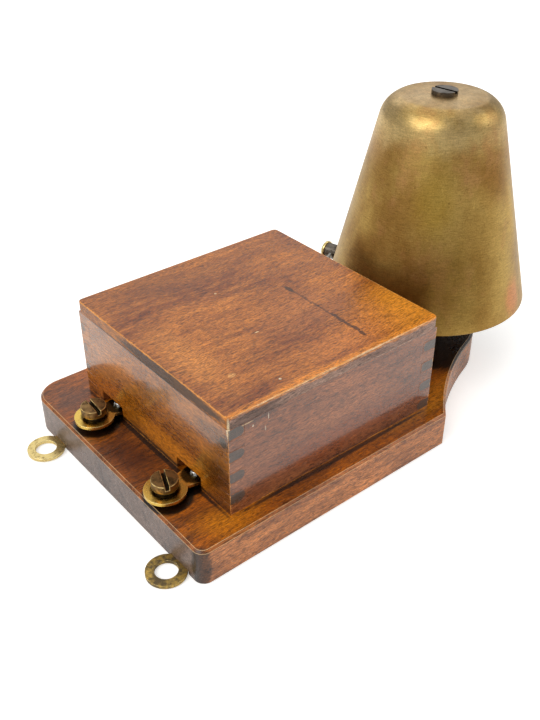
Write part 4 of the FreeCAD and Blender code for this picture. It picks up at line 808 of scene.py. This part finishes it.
# a slotted cheese head, domed a little, on a plain shank, cut in mm and then brought to metres
screw, given, done = recipe("slotted_screw", Head=1.8, Height=1.3, Shank=0.9, Length=6.0)
DOME, SLOT_LENGTH, SLOT_WIDTH = 3.0, 4.0, 0.28      # each in head radii
half_head, half_shank, dome_radius, slot_length, slot_width = [
    add(screw, "ShaderNodeMath", {0: given[size], 1: factor}, operation="MULTIPLY").outputs[0]
    for size, factor in (("Height", 0.5), ("Length", -0.5), ("Head", DOME), ("Head", SLOT_LENGTH),
                         ("Head", SLOT_WIDTH))]
sink = add(screw, "ShaderNodeMath", {0: given["Head"], 1: -DOME, 2: given["Height"]},
           operation="MULTIPLY_ADD").outputs[0]


def raised(shape, height):
    """Moves a shape of the screw up its axis."""
    up = add(screw, "ShaderNodeCombineXYZ", {2: height})
    return add(screw, "GeometryNodeTransform", {"Geometry": shape.outputs[0], "Translation": up.outputs[0]})


blank = raised(add(screw, "GeometryNodeMeshCylinder", {
    "Vertices": 32, "Radius": given["Head"], "Depth": given["Height"]}), half_head)
dome = raised(add(screw, "GeometryNodeMeshUVSphere", {
    "Segments": 48, "Rings": 48, "Radius": dome_radius}), sink)
head = add(screw, "GeometryNodeMeshBoolean", operation="INTERSECT")
for shape in (blank, dome):
    screw.links.new(shape.outputs[0], head.inputs["Mesh 2"])
blade = add(screw, "ShaderNodeCombineXYZ", {0: slot_length, 1: slot_width, 2: given["Height"]})
blade = raised(add(screw, "GeometryNodeMeshCube", {"Size": blade.outputs[0]}), given["Height"])
head = add(screw, "GeometryNodeMeshBoolean", {"Mesh 1": head.outputs[0], "Mesh 2": blade.outputs[0]},
           operation="DIFFERENCE")
shank = raised(add(screw, "GeometryNodeMeshCylinder", {
    "Vertices": 24, "Radius": given["Shank"], "Depth": given["Length"]}), half_shank)
both = add(screw, "GeometryNodeJoinGeometry")
for piece in (head, shank):
    screw.links.new(piece.outputs[0], both.inputs[0])
metres = add(screw, "GeometryNodeTransform", {"Geometry": both.outputs[0], "Scale": (MM, MM, MM)})
aim = add(screw, "GeometryNodeInputNamedAttribute", {"Name": "aim"}, data_type="FLOAT_VECTOR")
turn = add(screw, "FunctionNodeEulerToRotation", {0: aim.outputs["Attribute"]})
placed = add(screw, "GeometryNodeInstanceOnPoints", {
    "Points": given["Geometry"], "Instance": metres.outputs[0], "Rotation": turn.outputs[0]})
whole = add(screw, "GeometryNodeRealizeInstances", {0: placed.outputs[0]})
dress = add(screw, "GeometryNodeSetMaterial", {"Geometry": whole.outputs[0]})
screw.links.new(dress.outputs[0], done)
UP, DOWN, BACK, FRONT = (0, 0, 1), (0, 0, -1), (0, 1, 0), (0, -1, 0)
SCREWS = {       # the way the heads face, head radius and height, shank radius and length, spots
    "magnet_frame_screws": (UP, 2.7, 1.8, 1.2, 8, [(x, y, 15.1) for x in (-47.3, 4.1) for y in (-15.5, 1.5)]),
    "terminal_tail_screws": (UP, 1.8, 1.3, 0.9, 6, [(-53.6, -24, 15.4), (-53.6, 20, 15.4)]),
    "hanging_eye_screws": (DOWN, 2.7, 1.8, 1.2, 6.2, [(-69.85, -39, 1.8), (-69.85, 32, 1.8)]),
    "pillar_screws": (DOWN, 2.7, 1.8, 1.2, 18.8, [(-17.6, 21.7, 1.8), (-50.35, 11.4, 1.8)]),
    "core_screws": (FRONT, 3.5, 1.8, 1.8, 8, [(-33.6, -22.5, 28), (-9.6, -22.5, 28)]),
    "armature_screws": (BACK, 1.8, 1.3, 0.9, 3.8, [(-39.0, 16.0, 28), (-33.8, 16.0, 28)]),
    "spring_clamp_screws": (BACK, 1.8, 1.3, 0.9, 7.1, [(-52.23, 17.7, 28), (-48.48, 17.7, 28)]),
}
chance = random.Random(7)
for node, (facing, head_r, head_h, shank_r, length, spots) in SCREWS.items():
    metal, slot = ((screw_brass, "terminal_brass")
                   if node in ("terminal_tail_screws", "hanging_eye_screws", "armature_screws")
                   else (turned_steel, "bright_steel"))
    dress.inputs["Material"].default_value = metal
    aims = [(Vector(facing).to_track_quat("Z", "Y").to_matrix()
             @ Matrix.Rotation(chance.uniform(0, math.pi), 3, "Z")).to_euler() for _ in spots]
    mesh = grown(node, screw, [[c * MM for c in spot] for spot in spots], aims, Head=head_r,
                 Height=head_h, Shank=shank_r, Length=length)
    finished(node + "_piece", mesh, metal, BODIES[node], (node,))
